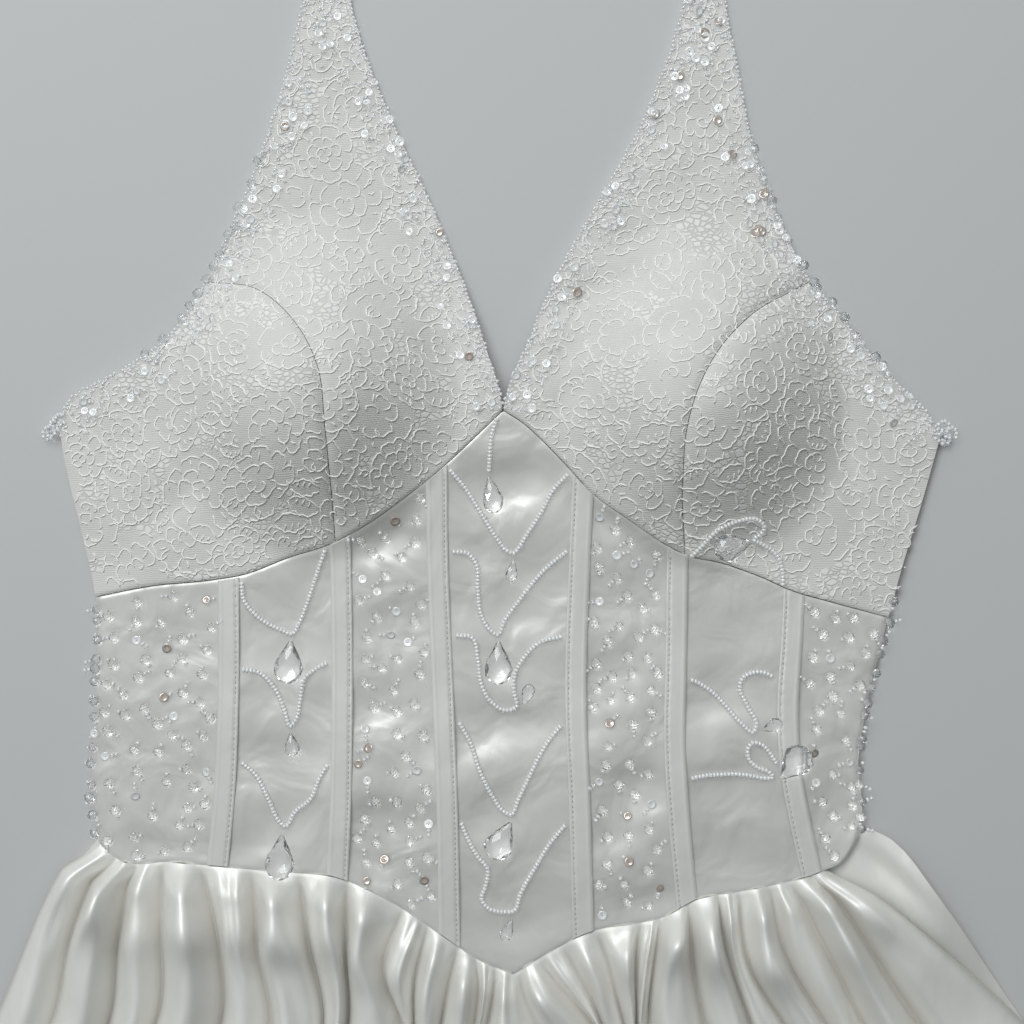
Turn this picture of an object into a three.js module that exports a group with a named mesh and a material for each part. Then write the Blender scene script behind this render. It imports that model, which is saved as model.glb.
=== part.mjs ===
// A halter-neck wedding dress laid out flat on its back, front upwards. Millimetres, +Z up, +Y towards the neck.
// Lace cups with halter straps stand on a corset waist of seven satin panels, whose seams lie under boning
// casings. A gathered satin skirt hangs from a pointed waist seam. Bead strands and crystal drops lie on the front.
// Every cloth piece is a thin closed wall cut from one shared surface, so neighbours meet at the same height.
import * as THREE from "three";

// Driving sizes.
const SATIN = 1.6; // wall of a waist panel with its interlining
const LACE = 2.2; // wall of lace, satin and cup padding
const SKIRT = 1.4; // wall of the skirt satin
const BACK = 1.4; // wall of the back pieces, which lie on the floor
const LAYER_GAP = 0.35; // between the back layer and the front layer
const SEAM = 0.3; // between neighbouring pieces at a seam
const LOFT = 6; // how far the boned front stands off the back at its middle
const CUP_HEIGHT = 34;
const CASING_WIDTH = 9.6;
const CASING_WALL = 1.0;
const STRAND_RADIUS = 1.05; // seed beads of about 2 mm on a thread
const NAPE_LAP = 12; // each strap end runs this far past the middle of the nape
const ORIGIN_Y = 285; // moves the middle of the dress's length to the origin

// Colours, roughness and metalness.
const FINISHES = {
  lace: [0xeceae4, 0.7, 0],
  satin: [0xf1eee8, 0.35, 0],
  casing: [0xf3f1ec, 0.35, 0],
  beads: [0xf4f6f8, 0.15, 0],
  crystal: [0xe8eef2, 0.05, 0],
  metal: [0xd8d8d6, 0.3, 1],
};

const mix = (a, b, t) => a + (b - a) * t;
const shares = (count) => Array.from({ length: count + 1 }, (_, i) => i / count); // even shares from 0 to 1
const clamp01 = (t) => Math.min(1, Math.max(0, t));
const ease = (a, b, x) => {
  const t = clamp01((x - a) / (b - a));
  return t * t * (3 - 2 * t);
};

// A smooth function through [argument, value] rows, in rising order of argument, straight beyond its ends.
function through(rows) {
  const slope = (i, j) => (rows[j][1] - rows[i][1]) / (rows[j][0] - rows[i][0]);
  const last = rows.length - 1;
  const tangent = rows.map((row, i) => {
    if (i === 0) return slope(0, 1);
    if (i === last) return slope(last - 1, last);
    const before = row[0] - rows[i - 1][0];
    const after = rows[i + 1][0] - row[0];
    return (slope(i - 1, i) * after + slope(i, i + 1) * before) / (before + after);
  });
  return (x) => {
    if (x <= rows[0][0]) return rows[0][1] + tangent[0] * (x - rows[0][0]);
    if (x >= rows[last][0]) return rows[last][1] + tangent[last] * (x - rows[last][0]);
    const i = rows.findIndex((row) => row[0] > x) - 1;
    const h = rows[i + 1][0] - rows[i][0];
    const t = (x - rows[i][0]) / h;
    const [t2, t3] = [t * t, t * t * t];
    return (
      (2 * t3 - 3 * t2 + 1) * rows[i][1] + (t3 - 2 * t2 + t) * h * tangent[i] +
      (3 * t2 - 2 * t3) * rows[i + 1][1] + (t3 - t2) * h * tangent[i + 1]
    );
  };
}

// A smooth plane curve through points, as a function of the share of its length.
function curve(points) {
  const along = [0];
  for (let i = 1; i < points.length; i++)
    along.push(along[i - 1] + Math.hypot(points[i][0] - points[i - 1][0], points[i][1] - points[i - 1][1]));
  const x = through(points.map((p, i) => [along[i], p[0]]));
  const y = through(points.map((p, i) => [along[i], p[1]]));
  const length = along[along.length - 1];
  return (t) => [x(t * length), y(t * length)];
}

// Two curves run one after the other, the first up to the given share.
const joined = (first, second, share) => (t) =>
  t <= share ? first(t / share) : second((t - share) / (1 - share));

// The same curve moved sideways, to the left of its direction of travel.
const moved = (line, distance) => (t) => {
  const step = 1e-3;
  const [a, b] = [line(Math.max(0, t - step)), line(Math.min(1, t + step))];
  const length = Math.hypot(b[0] - a[0], b[1] - a[1]);
  const p = line(t);
  return [p[0] - ((b[1] - a[1]) / length) * distance, p[1] + ((b[0] - a[0]) / length) * distance];
};

// Outlines of the front, in millimetres from the centre front and from the side waist.
const ARMHOLE = {
  left: [[-201, 196], [-196, 208], [-181, 217], [-165, 226], [-152, 236], [-141, 250], [-134, 262]],
  right: [[198, 192], [191, 203], [177, 217], [161, 235], [149, 251], [139, 262]],
};
const STRAP_OUTER = {
  left: [[-134, 262], [-122, 289], [-108, 325], [-97, 361], [-91, 388], [-88, 420], [-78, 456], [-55, 486],
    [-26, 502], [6, 507]],
  right: [[139, 262], [126, 289], [113, 325], [106, 361], [101, 388], [100, 420], [90, 456], [67, 486],
    [38, 502], [6, 507]],
};
const NECK_EDGE = {
  left: [[-0.4, 203.4], [-1, 208], [-9, 235], [-15, 253], [-22, 271]],
  right: [[0.4, 203.4], [1, 208], [12, 235], [19, 253], [28, 271]],
};
const STRAP_INNER = {
  left: [[-22, 271], [-33, 298], [-50, 334], [-64, 370], [-69, 388], [-69, 416], [-61, 444], [-43, 467],
    [-20, 481], [6, 487]],
  right: [[28, 271], [43, 298], [63, 334], [77, 370], [82, 388], [82, 416], [74, 444], [56, 467],
    [33, 481], [6, 487]],
};
const CUP_SEAM = {
  left: [[-75.6, 144], [-76, 172], [-77, 195], [-80, 221], [-92, 242], [-112, 258], [-134, 262]],
  right: [[82, 138.6], [79, 172], [80, 195], [84, 210], [93, 227], [109, 244], [139, 262]],
};
const SIDE_EDGE = {
  left: through([[-6, -176], [7, -182.5], [19, -185.4], [37, -186.3], [73, -184.5], [119, -184.5], [145, -190],
    [181, -198.5], [196, -201]]),
  right: through([[-6, 152], [8, 159], [19, 161.8], [46, 160.7], [64, 163.5], [100, 172], [127, 179],
    [163, 190], [192, 198]]),
};
const UNDERBUST = {
  left: through([[-184.5, 118.8], [-159, 123.8], [-132, 126.5], [-118, 128.8], [-96, 137], [-78, 142.7],
    [-61, 151.7], [-46, 162.2], [-26, 178.4], [-10, 193.4], [0, 203]]),
  right: through([[0, 203], [8, 198], [26, 181], [40, 166], [57, 153.5], [73, 142.7], [83, 137.7], [98, 134.4],
    [116, 128.2], [131, 121.6], [147, 117], [173, 110]]),
};
const underbust = (x) => (x < 0 ? UNDERBUST.left(x) : UNDERBUST.right(x));
const POINT_X = 5; // the waist seam's lowest point
const WAIST = {
  left: through([[-182.5, 7], [-175, 1], [-150, -0.5], [-124, -2.7], [-96, -5], [-78, -6.3], [-64, -11],
    [-46, -20.7], [-28, -33], [-10, -45], [POINT_X, -51]]),
  right: through([[POINT_X, -51], [21, -41], [40, -31.5], [62, -27.5], [71, -25.5], [87, -17.2], [107, -13.5],
    [125, -10], [143, -5], [154, 1], [159, 8]]),
};
const waist = (x) => (x < POINT_X ? WAIST.left(x) : WAIST.right(x));
const WAIST_END = { left: -182.5, right: 158.8 };
const backNeck = through([[-200, 193], [-170, 170], [-120, 138], [-60, 112], [0, 101], [60, 112], [120, 138],
  [170, 166], [198, 189]]);
const backWaist = through([[-190, 9], [-100, 2], [0, 0], [100, 6], [159, 14], [175, 14]]);

// Seams between the waist panels, each under a boning casing: the x of the seam at each height.
const SEAMS = {
  left_1: through([[-37, -24], [28, -25.2], [73, -27], [136, -29.5], [175, -29.8]]),
  left_2: through([[-8, -74.5], [28, -73], [73, -72.5], [145, -73.4]]),
  left_3: through([[-3, -128.7], [34, -125.3], [73, -124], [128, -124]]),
  right_1: through([[-34, 36.2], [28, 34.4], [73, 32.8], [136, 34.6], [170, 36]]),
  right_2: through([[-20, 83], [17, 79.4], [50, 77.4], [100, 78.3], [140, 78.7]]),
  right_3: through([[-6, 139.3], [18, 133.9], [37, 130.3], [68, 128.5], [100, 130.5], [122, 131.6]]),
};

// Heights. The back lies on the floor; the front lies on it, lofted at its middle, with two padded cups.
const CUPS = [
  { x: -86, y: 212, across: 67, up: 84, down: 78 },
  { x: 91, y: 209, across: 67, up: 86, down: 79 },
];
const CUP_FULLNESS = 1.8;
const PUFF = { x: 194, y: -18, along: 34, across: 17, height: 9, lean: 0.84 };

// The fold of skirt that bulges out behind the right side of the waist.
function puff(x, y) {
  const [c, s] = [Math.cos(PUFF.lean), Math.sin(PUFF.lean)];
  const along = ((x - PUFF.x) * c - (y - PUFF.y) * s) / PUFF.along;
  const across = ((x - PUFF.x) * s + (y - PUFF.y) * c) / PUFF.across;
  return PUFF.height * Math.exp(-(along * along + across * across));
}

function cupDome(x, y) {
  let height = 0;
  for (const cup of CUPS) {
    const dx = (x - cup.x) / cup.across;
    const dy = (y - cup.y) / (y > cup.y ? cup.up : cup.down);
    const r2 = dx * dx + dy * dy;
    if (r2 < 1) height += CUP_HEIGHT * (1 - r2) ** CUP_FULLNESS;
  }
  return height;
}

// How far the nape end of the left strap climbs over the right one.
const LAP_CLIMB = LACE + LAYER_GAP;

// The underside of the front layer.
function under(x, y) {
  const overBack = 1 - ease(215, 262, y);
  const rise = LOFT * (1 - ease(205, 300, y)) * (1 - Math.min(1, Math.abs(x / 188)) ** 2.4);
  return overBack * (BACK + LAYER_GAP) + rise + puff(x, y) + cupDome(x, y);
}

// Closes a grid of upper points [across][along] and the matching lower points into one wall.
function wall(upper, lower) {
  const [n, m] = [upper.length, upper[0].length];
  const position = [...upper.flat(), ...lower.flat()].flat();
  const up = (i, j) => i * m + j;
  const low = (i, j) => n * m + i * m + j;
  const index = [];
  const quad = (a, b, c, d) => index.push(a, b, c, a, c, d);
  for (let i = 0; i < n - 1; i++)
    for (let j = 0; j < m - 1; j++) {
      quad(up(i, j), up(i + 1, j), up(i + 1, j + 1), up(i, j + 1));
      quad(low(i, j), low(i, j + 1), low(i + 1, j + 1), low(i + 1, j));
    }
  for (let i = 0; i < n - 1; i++) {
    quad(low(i, 0), low(i + 1, 0), up(i + 1, 0), up(i, 0));
    quad(up(i, m - 1), up(i + 1, m - 1), low(i + 1, m - 1), low(i, m - 1));
  }
  for (let j = 0; j < m - 1; j++) {
    quad(up(0, j), up(0, j + 1), low(0, j + 1), low(0, j));
    quad(low(n - 1, j), low(n - 1, j + 1), up(n - 1, j + 1), up(n - 1, j));
  }
  const geometry = new THREE.BufferGeometry();
  geometry.setAttribute("position", new THREE.Float32BufferAttribute(position, 3));
  geometry.setIndex(index);
  return geometry;
}

// A wall whose lower side lies on a height function, its upper side standing off it along the surface's normal.
function clothWall(place, across, along, height, thickness) {
  const [upper, lower] = [[], []];
  const step = 0.5;
  for (const [i, u] of across.entries()) {
    upper.push([]);
    lower.push([]);
    for (const v of along) {
      const [x, y] = place(u, v);
      const topAt = (a, b) => height(a, b) + thickness;
      const z = topAt(x, y);
      const normal = new THREE.Vector3(
        topAt(x - step, y) - topAt(x + step, y),
        topAt(x, y - step) - topAt(x, y + step),
        2 * step,
      ).normalize();
      upper[i].push([x, y, z]);
      lower[i].push([
        x - normal.x * thickness,
        y - normal.y * thickness,
        Math.max(0, z - normal.z * thickness),
      ]);
    }
  }
  return wall(upper, lower);
}

// A four-sided patch between curves: bottom and top run left to right, left and right run upwards.
const coons = (bottom, topLine, left, right) => (u, v) =>
  [0, 1].map((k) => {
    const ruled = mix(bottom(u)[k], topLine(u)[k], v) + mix(left(v)[k], right(v)[k], u);
    return ruled - mix(mix(bottom(0)[k], bottom(1)[k], u), mix(topLine(0)[k], topLine(1)[k], u), v);
  });

const straight = (a, b) => (t) => [mix(a[0], b[0], t), mix(a[1], b[1], t)];

// The inner lace piece: cup side of the princess seam, neck edge and halter strap to the nape, in one cut.
const STRAP_SHARE = 0.42; // share of its rows below the armhole's top
const LACE_ROWS = [...shares(14).map((t) => t * STRAP_SHARE),
  ...shares(20).slice(1).map((t) => mix(STRAP_SHARE, 1, t))];
const LACE_INSET = 0.16;
function laceInner(side) {
  const sign = side === "left" ? -1 : 1;
  const nape = sign * -NAPE_LAP;
  const outerEnd = [...STRAP_OUTER[side], [6 + nape, 506.5]];
  const innerEnd = [...STRAP_INNER[side], [6 + nape, 487.3]];
  const outer = moved(joined(curve(CUP_SEAM[side]), curve(outerEnd), STRAP_SHARE), sign * LACE_INSET);
  const inner = joined(curve(NECK_EDGE[side]), curve(innerEnd), STRAP_SHARE);
  const seamStart = outer(0);
  const foot = (t) => {
    const x = mix(seamStart[0], inner(0)[0], t);
    return t === 1 ? inner(0) : [x, underbust(x) + SEAM + 0.1];
  };
  const outerFromFoot = (t) => (t === 0 ? foot(0) : outer(t));
  const end = straight(outer(1), inner(1));
  return side === "left"
    ? coons(foot, end, outerFromFoot, inner)
    : coons((t) => foot(1 - t), (t) => end(1 - t), inner, outerFromFoot);
}

// The outer lace piece: from the princess seam to the side edge, below the armhole.
function laceOuter(side) {
  const sign = side === "left" ? -1 : 1;
  const seam = moved(curve(CUP_SEAM[side]), -sign * LACE_INSET);
  const armhole = curve(ARMHOLE[side]);
  const corner = ARMHOLE[side][0];
  const low = UNDERBUST[side](side === "left" ? -184.5 : 173) + SEAM;
  const edge = (t) => {
    const y = mix(low, corner[1], t);
    return [SIDE_EDGE[side](y), y];
  };
  const seamLine = (t) => {
    const p = seam(t * 0.999);
    return t === 0 ? [p[0], underbust(p[0]) + SEAM + 0.1] : p;
  };
  const foot = (t) => {
    const x = mix(edge(0)[0], seamLine(0)[0], t);
    return [x, underbust(x) + SEAM + 0.1 * t];
  };
  const edgeLine = (t) => (t === 0 ? foot(0) : edge(t));
  const armLine = (t) => {
    const p = armhole(t);
    const goal = seamLine(1);
    return [p[0] + (goal[0] - armhole(1)[0]) * t, p[1] + (goal[1] - armhole(1)[1]) * t];
  };
  const cornerFix = edgeLine(1);
  const armStart = (t) => (t === 0 ? cornerFix : armLine(t));
  return side === "left"
    ? coons(foot, armStart, edgeLine, seamLine)
    : coons((t) => foot(1 - t), (t) => armStart(1 - t), seamLine, edgeLine);
}

// A waist panel between two upright lines x(y), from the waist seam to the underbust seam.
const panel = (left, right) => (u, v) => {
  let [x, y] = [0, 60];
  for (let i = 0; i < 8; i++) {
    x = mix(left(y), right(y), u);
    y = mix(waist(x) + SEAM, underbust(x) - SEAM, v);
  }
  return [x, y];
};
// Columns of two panels: one at the peak of the centre panel's top edge and one at the waist's point, and
// closer ones where the side panel's waist edge bends.
const PANEL_COLUMNS = {
  panel_centre: [0, 0.16, 0.32, 0.451, 0.484, 0.62, 0.75, 0.88, 1],
  panel_side_left: [0, 0.04, 0.08, 0.12, 0.17, 0.25, 0.5, 0.75, 1],
};
const PANELS = {
  panel_side_left: [(y) => SIDE_EDGE.left(y), (y) => SEAMS.left_3(y) - SEAM / 2],
  panel_plain_left: [(y) => SEAMS.left_3(y) + SEAM / 2, (y) => SEAMS.left_2(y) - SEAM / 2],
  panel_beaded_left: [(y) => SEAMS.left_2(y) + SEAM / 2, (y) => SEAMS.left_1(y) - SEAM / 2],
  panel_centre: [(y) => SEAMS.left_1(y) + SEAM / 2, (y) => SEAMS.right_1(y) - SEAM / 2],
  panel_beaded_right: [(y) => SEAMS.right_1(y) + SEAM / 2, (y) => SEAMS.right_2(y) - SEAM / 2],
  panel_plain_right: [(y) => SEAMS.right_2(y) + SEAM / 2, (y) => SEAMS.right_3(y) - SEAM / 2],
  panel_side_right: [(y) => SEAMS.right_3(y) + SEAM / 2, (y) => SIDE_EDGE.right(y)],
};

// A boning casing: a strip that lies on the panels along a seam.
const CASING_END = 1.2;
const casing = (seam) => (u, v) => {
  let [x, y] = [seam(60), 60];
  for (let i = 0; i < 8; i++) {
    x = seam(y) + (u - 0.5) * CASING_WIDTH;
    y = mix(waist(x) + CASING_END, underbust(x) - CASING_END, v);
  }
  return [x, y];
};

// The skirt. Each row is one valley between folds: its x at the waist seam, halfway down to the level 73 mm below
// the side waist, at that level and at the hem, then the height near the waist and at the hem of the fold to its
// right, and the share of that fold's width at which its crest lies.
const FOLD_LEVEL = -73;
const FOLDS = [
  { waist: -182.5, middle: -206, level: -230, hem: -695, height: 7, hemHeight: 12, crest: 0.5 },
  { waist: -175, middle: -190, level: -202, hem: -648, height: 14, hemHeight: 26, crest: 0.4 },
  { waist: -165.5, middle: -170, level: -178, hem: -578, height: 9, hemHeight: 10, crest: 0.5 },
  { waist: -154, middle: -155, level: -158, hem: -534, height: 15, hemHeight: 28, crest: 0.6 },
  { waist: -136, middle: -129, level: -126, hem: -454, height: 8, hemHeight: 14, crest: 0.62 },
  { waist: -114, middle: -109.5, level: -104, hem: -404, height: 14, hemHeight: 24, crest: 0.4 },
  { waist: -92, middle: -87, level: -83, hem: -338, height: 12, hemHeight: 9, crest: 0.66 },
  { waist: -70, middle: -72, level: -70, hem: -300, height: 12, hemHeight: 25, crest: 0.4 },
  { waist: -45, middle: -53.5, level: -44, hem: -230, height: 8, hemHeight: 8, crest: 0.4 },
  { waist: -34, middle: -39, level: -40, hem: -192, height: 9, hemHeight: 22, crest: 0.5 },
  { waist: -20, middle: -25, level: -29.5, hem: -130, height: 8, hemHeight: 14, crest: 0.45 },
  { waist: -12, middle: -11.5, level: -13, hem: -88, height: 6, hemHeight: 8, crest: 0.5 },
  { waist: -3, middle: -4.5, level: -6, hem: -50, height: 8, hemHeight: 20, crest: 0.5 },
  { waist: 7, middle: 9.5, level: 14, hem: 8, height: 9, hemHeight: 10, crest: 0.5 },
  { waist: 15.5, middle: 27, level: 39, hem: 50, height: 5, hemHeight: 20, crest: 0.6 },
  { waist: 26, middle: 37, level: 46, hem: 106, height: 6, hemHeight: 12, crest: 0.5 },
  { waist: 42, middle: 49, level: 53.5, hem: 148, height: 8, hemHeight: 22, crest: 0.6 },
  { waist: 62, middle: 59, level: 59, hem: 208, height: 6, hemHeight: 10, crest: 0.5 },
  { waist: 71, middle: 68, level: 67.5, hem: 252, height: 12, hemHeight: 26, crest: 0.5 },
  { waist: 83.5, middle: 86, level: 90, hem: 320, height: 13, hemHeight: 12, crest: 0.55 },
  { waist: 97, middle: 100, level: 110, hem: 366, height: 7, hemHeight: 24, crest: 0.4 },
  { waist: 106.5, middle: 110, level: 128, hem: 438, height: 13, hemHeight: 12, crest: 0.62 },
  { waist: 120, middle: 128, level: 145, hem: 486, height: 8, hemHeight: 26, crest: 0.45 },
  { waist: 129, middle: 143, level: 160, hem: 562, height: 14, hemHeight: 12, crest: 0.6 },
  { waist: 139, middle: 161, level: 187, hem: 618, height: 9, hemHeight: 20, crest: 0.4 },
  { waist: 146, middle: 191, level: 234, hem: 695, height: 0, hemHeight: 0, crest: 0.5 },
];
const HEM_SIDE = -985;
const HEM_DEPTH = 93; // the hem's middle hangs this much below its corners
const HEM_HALF = 695;
const hem = (x) => HEM_SIDE - HEM_DEPTH * (1 - (x / HEM_HALF) ** 2);
const column = (name) => through(FOLDS.map((fold, i) => [i, fold[name]]));
const foldWaist = column("waist");
const foldMiddle = column("middle");
const foldLevel = column("level");
const foldHem = column("hem");
const FOLD_COUNT = FOLDS.length - 1;
// Extra points that the two side edges of the skirt front pass through, below the photographed level.
const EDGE_BEND = { left: [-150, -267], right: [-195, 322] };

// The side edges swell out just below the waist: by how much, over how many folds, and at which drop.
const SHOULDER = { left: -11, right: 7.5, folds: 3 };
const shoulderAt = (drop) => ease(0, 12, drop) * (1 - ease(14, 90, drop));
function shoulder(f, drop) {
  const [near, amount] = f < FOLD_COUNT / 2 ? [f, SHOULDER.left] : [FOLD_COUNT - f, SHOULDER.right];
  return amount * Math.max(0, 1 - near / SHOULDER.folds) * shoulderAt(drop);
}

// The place of fold line f at a share v of the way down, with its drop below the waist seam.
function skirtPlace(f, v) {
  const x0 = foldWaist(f);
  const [y0, y1] = [waist(x0) - SEAM / 2, hem(foldHem(f))];
  const y = mix(y0, y1, v);
  const bend = f < FOLD_COUNT / 2 ? EDGE_BEND.left : EDGE_BEND.right;
  const straightX = mix(foldLevel(f), foldHem(f), (bend[0] - FOLD_LEVEL) / (y1 - FOLD_LEVEL));
  const share = Math.abs(f / (FOLD_COUNT / 2) - 1) ** 3;
  const rows = [
    [y1, foldHem(f)],
    [bend[0], mix(straightX, bend[1], share)],
    [FOLD_LEVEL, foldLevel(f)],
    [(FOLD_LEVEL + y0) / 2, foldMiddle(f)],
    [y0, x0],
  ];
  return [through(rows)(y) + shoulder(f, y0 - y), y, y0 - y];
}

const SKIRT_LOFT = 2.5;
const PUFF_CLEAR = 2.4; // the front's edge stands this far off the bulge
const gather = (drop) => mix(0.25, 1, ease(-8, 32, drop)); // how far a fold has opened at a drop
// Height of the front's underside on fold line f, whose share across its fold is within.
function skirtUnder(f, v) {
  const [x, y, drop] = skirtPlace(f, v);
  const fold = FOLDS[Math.min(FOLD_COUNT - 1, Math.floor(f))];
  const within = f - Math.floor(f);
  const across = within < fold.crest ? (0.5 * within) / fold.crest : 0.5 + (0.5 * (within - fold.crest)) / (1 - fold.crest);
  const size = mix(fold.height, fold.hemHeight, ease(60, 900, drop)) * gather(drop);
  const base = mix(under(x, y) - puff(x, y), BACK + LAYER_GAP + SKIRT_LOFT, ease(0, 160, drop));
  const edge = clamp01(Math.min(f, FOLD_COUNT - f) / 0.5);
  const lift = puff(x, y);
  return mix(BACK + LAYER_GAP, base, edge) + lift + PUFF_CLEAR * (1 - Math.exp(-lift)) +
    size * Math.sin(Math.PI * across) ** 0.75;
}

const SKIRT_ROWS = [0, 0.011, 0.026, 0.048, 0.08, 0.14, 0.24, 0.4, 0.6, 0.8, 1];
const FOLD_STEPS = [0, 0.45, 1, 1.55]; // halfway points of each fold, as shares of the way to its crest and past it
function skirtFront() {
  const across = [];
  for (let f = 0; f < FOLD_COUNT; f++)
    for (const step of FOLD_STEPS) {
      const { crest } = FOLDS[f];
      across.push(f + (step <= 1 ? step * crest : crest + (step - 1) * (1 - crest)));
    }
  across.push(FOLD_COUNT);
  const upper = across.map((f) =>
    SKIRT_ROWS.map((v) => {
      const [x, y] = skirtPlace(f, v);
      return new THREE.Vector3(x, y, skirtUnder(f, v) + SKIRT);
    }),
  );
  const lower = upper.map((line, i) =>
    line.map((point, j) => {
      const before = upper[Math.max(0, i - 1)][j];
      const after = upper[Math.min(upper.length - 1, i + 1)][j];
      const side = after.clone().sub(before);
      const flat = Math.hypot(side.x, side.y);
      const normal = new THREE.Vector3((-side.z * side.x) / flat, (-side.z * side.y) / flat, flat).normalize();
      return point.clone().addScaledVector(normal, -SKIRT).toArray();
    }),
  );
  const upwards = (lines) => lines.map((line) => line.reverse());
  return wall(upwards(upper.map((line) => line.map((p) => p.toArray()))), upwards(lower));
}

// The back of the skirt lies on the floor under the front, and bulges out past it beside the right waist.
const BACK_EDGE = {
  left: through([[-990, -684], [-770, -576], [-540, -462], [-300, -342], [-150, -262], [-62, -222], [-35, -210],
    [-17, -202], [-3, -194], [9, -184]]),
  right: through([[-990, 684], [-660, 548], [-370, 409], [-195, 316], [-120, 268], [-70, 234.5], [-37, 214.7],
    [-10, 196.7], [2, 187.7], [11, 176], [14.5, 160]]),
};
const ZIP_HALF = 2.4;
const ZIP_FOOT = -150; // the zip ends this far below the waist
const zipClear = (y) => (y > ZIP_FOOT - 5 ? ZIP_HALF + SEAM : SEAM / 2);
const BACK_ROWS = [0, 0.14, 0.3, 0.46, 0.62, 0.75, 0.8539, 0.8576, 0.9, 0.935, 0.962, 0.98, 0.991, 1];
function skirtBack(side) {
  const sign = side === "left" ? -1 : 1;
  return (u, v) => {
    const t = side === "left" ? 1 - u : u;
    let [x, y] = [sign * 90, -400];
    for (let i = 0; i < 10; i++) {
      const low = hem(x) + 5;
      const high = backWaist(x) - SEAM;
      y = mix(low, high, v);
      x = mix(sign * zipClear(y), BACK_EDGE[side](y), t);
    }
    return [x, y];
  };
}
function bodiceBack(side) {
  const sign = side === "left" ? -1 : 1;
  const edge = (y) => SIDE_EDGE[side](y) - sign * 0.6;
  return (u, v) => {
    const t = side === "left" ? 1 - u : u;
    let [x, y] = [sign * 90, 60];
    for (let i = 0; i < 10; i++) {
      y = mix(backWaist(x) + SEAM, backNeck(x) - 1, v);
      x = mix(sign * (ZIP_HALF + SEAM), edge(y), t);
    }
    return [x, y];
  };
}

// The puffed part of the back lifts off the floor; the rest lies on it.
const backUnder = (x, y) => {
  const z = puff(x, y);
  return z < 0.4 ? 0 : (z - 0.4) * (PUFF.height / (PUFF.height - 0.4));
};

// Bead strands: each is one thread from its anchor beside a casing, down to its drop and up to the other anchor.
const STRANDS = {
  strand_centre_1: [[-2.7, 199.6], [-5, 192.2], [-5.9, 183.2], [-6.3, 175.8]],
  strand_centre_2: [[-24, 176.6], [-17.1, 168.3], [-9.5, 156.2], [-2.3, 144.9], [1.4, 140.3], [5, 138.9],
    [7.2, 141.3], [9.9, 145.8], [16.7, 156.2], [23.4, 168.3], [29.3, 174.4]],
  strand_centre_3: [[-22.8, 139.5], [-15.8, 138.6], [-12.6, 135], [-11.3, 122.4], [-9.9, 111.2],
    [-5.9, 104.4], [-2.5, 102], [0.9, 108.6], [7.7, 117.9], [18.9, 131.4], [28.6, 139.6]],
  strand_centre_4: [[-21.2, 101.7], [-14, 100.8], [-11.3, 90.9], [-9.7, 79.7], [-5, 71.6], [1.4, 68],
    [5.8, 69.4], [4.8, 77.4], [5.4, 84.2], [9.5, 91.8], [16.7, 98.6], [26.6, 101.3]],
  strand_centre_5: [[-19.8, 62.6], [-14.9, 54], [-10.4, 41.4], [-5, 30.2], [0.8, 22.4], [3.4, 21.2],
    [6.8, 27.9], [12.2, 39.2], [20.3, 54], [26.6, 61.7]],
  strand_centre_6: [[-18.9, 18], [-15.8, 10.8], [-11.3, 2.7], [-7, -2.7], [-7.7, -10.4], [-9.5, -17.1],
    [-6, -21.2], [0, -22.6], [5, -22.2], [7.7, -14.9], [14.4, -2.7], [21.2, 8.6], [28.4, 17.4]],
  strand_left_1: [[-118, 126], [-117, 117.9], [-110.3, 109.8], [-100.4, 104.2], [-95, 102.4],
    [-92.3, 106.7], [-87.8, 117.9], [-83.3, 131.4], [-80.1, 140.4]],
  strand_left_2: [[-117.8, 86.4], [-110.3, 85.1], [-102.6, 77.4], [-98.6, 68.4], [-95.5, 61],
    [-93.2, 64], [-91.4, 72.9], [-89, 82.8], [-83.3, 87.3], [-78.4, 89.6]],
  strand_left_3: [[-117.8, 44.6], [-111.6, 39.2], [-105.8, 28.8], [-100.4, 17.6], [-98.4, 15.8],
    [-93.6, 22.5], [-86.9, 27.9], [-82.4, 37.8], [-78.8, 44]],
  strand_right_1: [[84.4, 137.2], [88.7, 141.5], [93, 146.5], [97.7, 150.4], [104.4, 153.2], [109.6, 154.4],
    [114.6, 153.6], [117.2, 150.4], [115.4, 147.2], [112.8, 145.2], [116.2, 143.2], [120.4, 140.8],
    [124, 137.2], [126, 131.4], [126.3, 123.6]],
  strand_right_2: [[84.6, 81.9], [88.7, 80.1], [94.1, 76.5], [99.9, 70.7], [106.7, 63], [113, 58.4],
    [114.2, 62], [111.2, 68.4], [108.9, 72.9], [106.9, 77.6], [108.2, 82.4], [112.6, 84.8], [117.6, 85],
    [122.4, 82.8]],
  strand_right_3: [[84.6, 37.4], [91, 38.7], [97.7, 39.2], [104.4, 39.4], [111.2, 38.7], [117.6, 37.6],
    [121.6, 38], [119.4, 40.6], [115, 42.2], [111.4, 45.2], [110, 49.6], [112, 53.4], [116.4, 52.8],
    [120.6, 48.4], [123, 44.6]],
};

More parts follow.
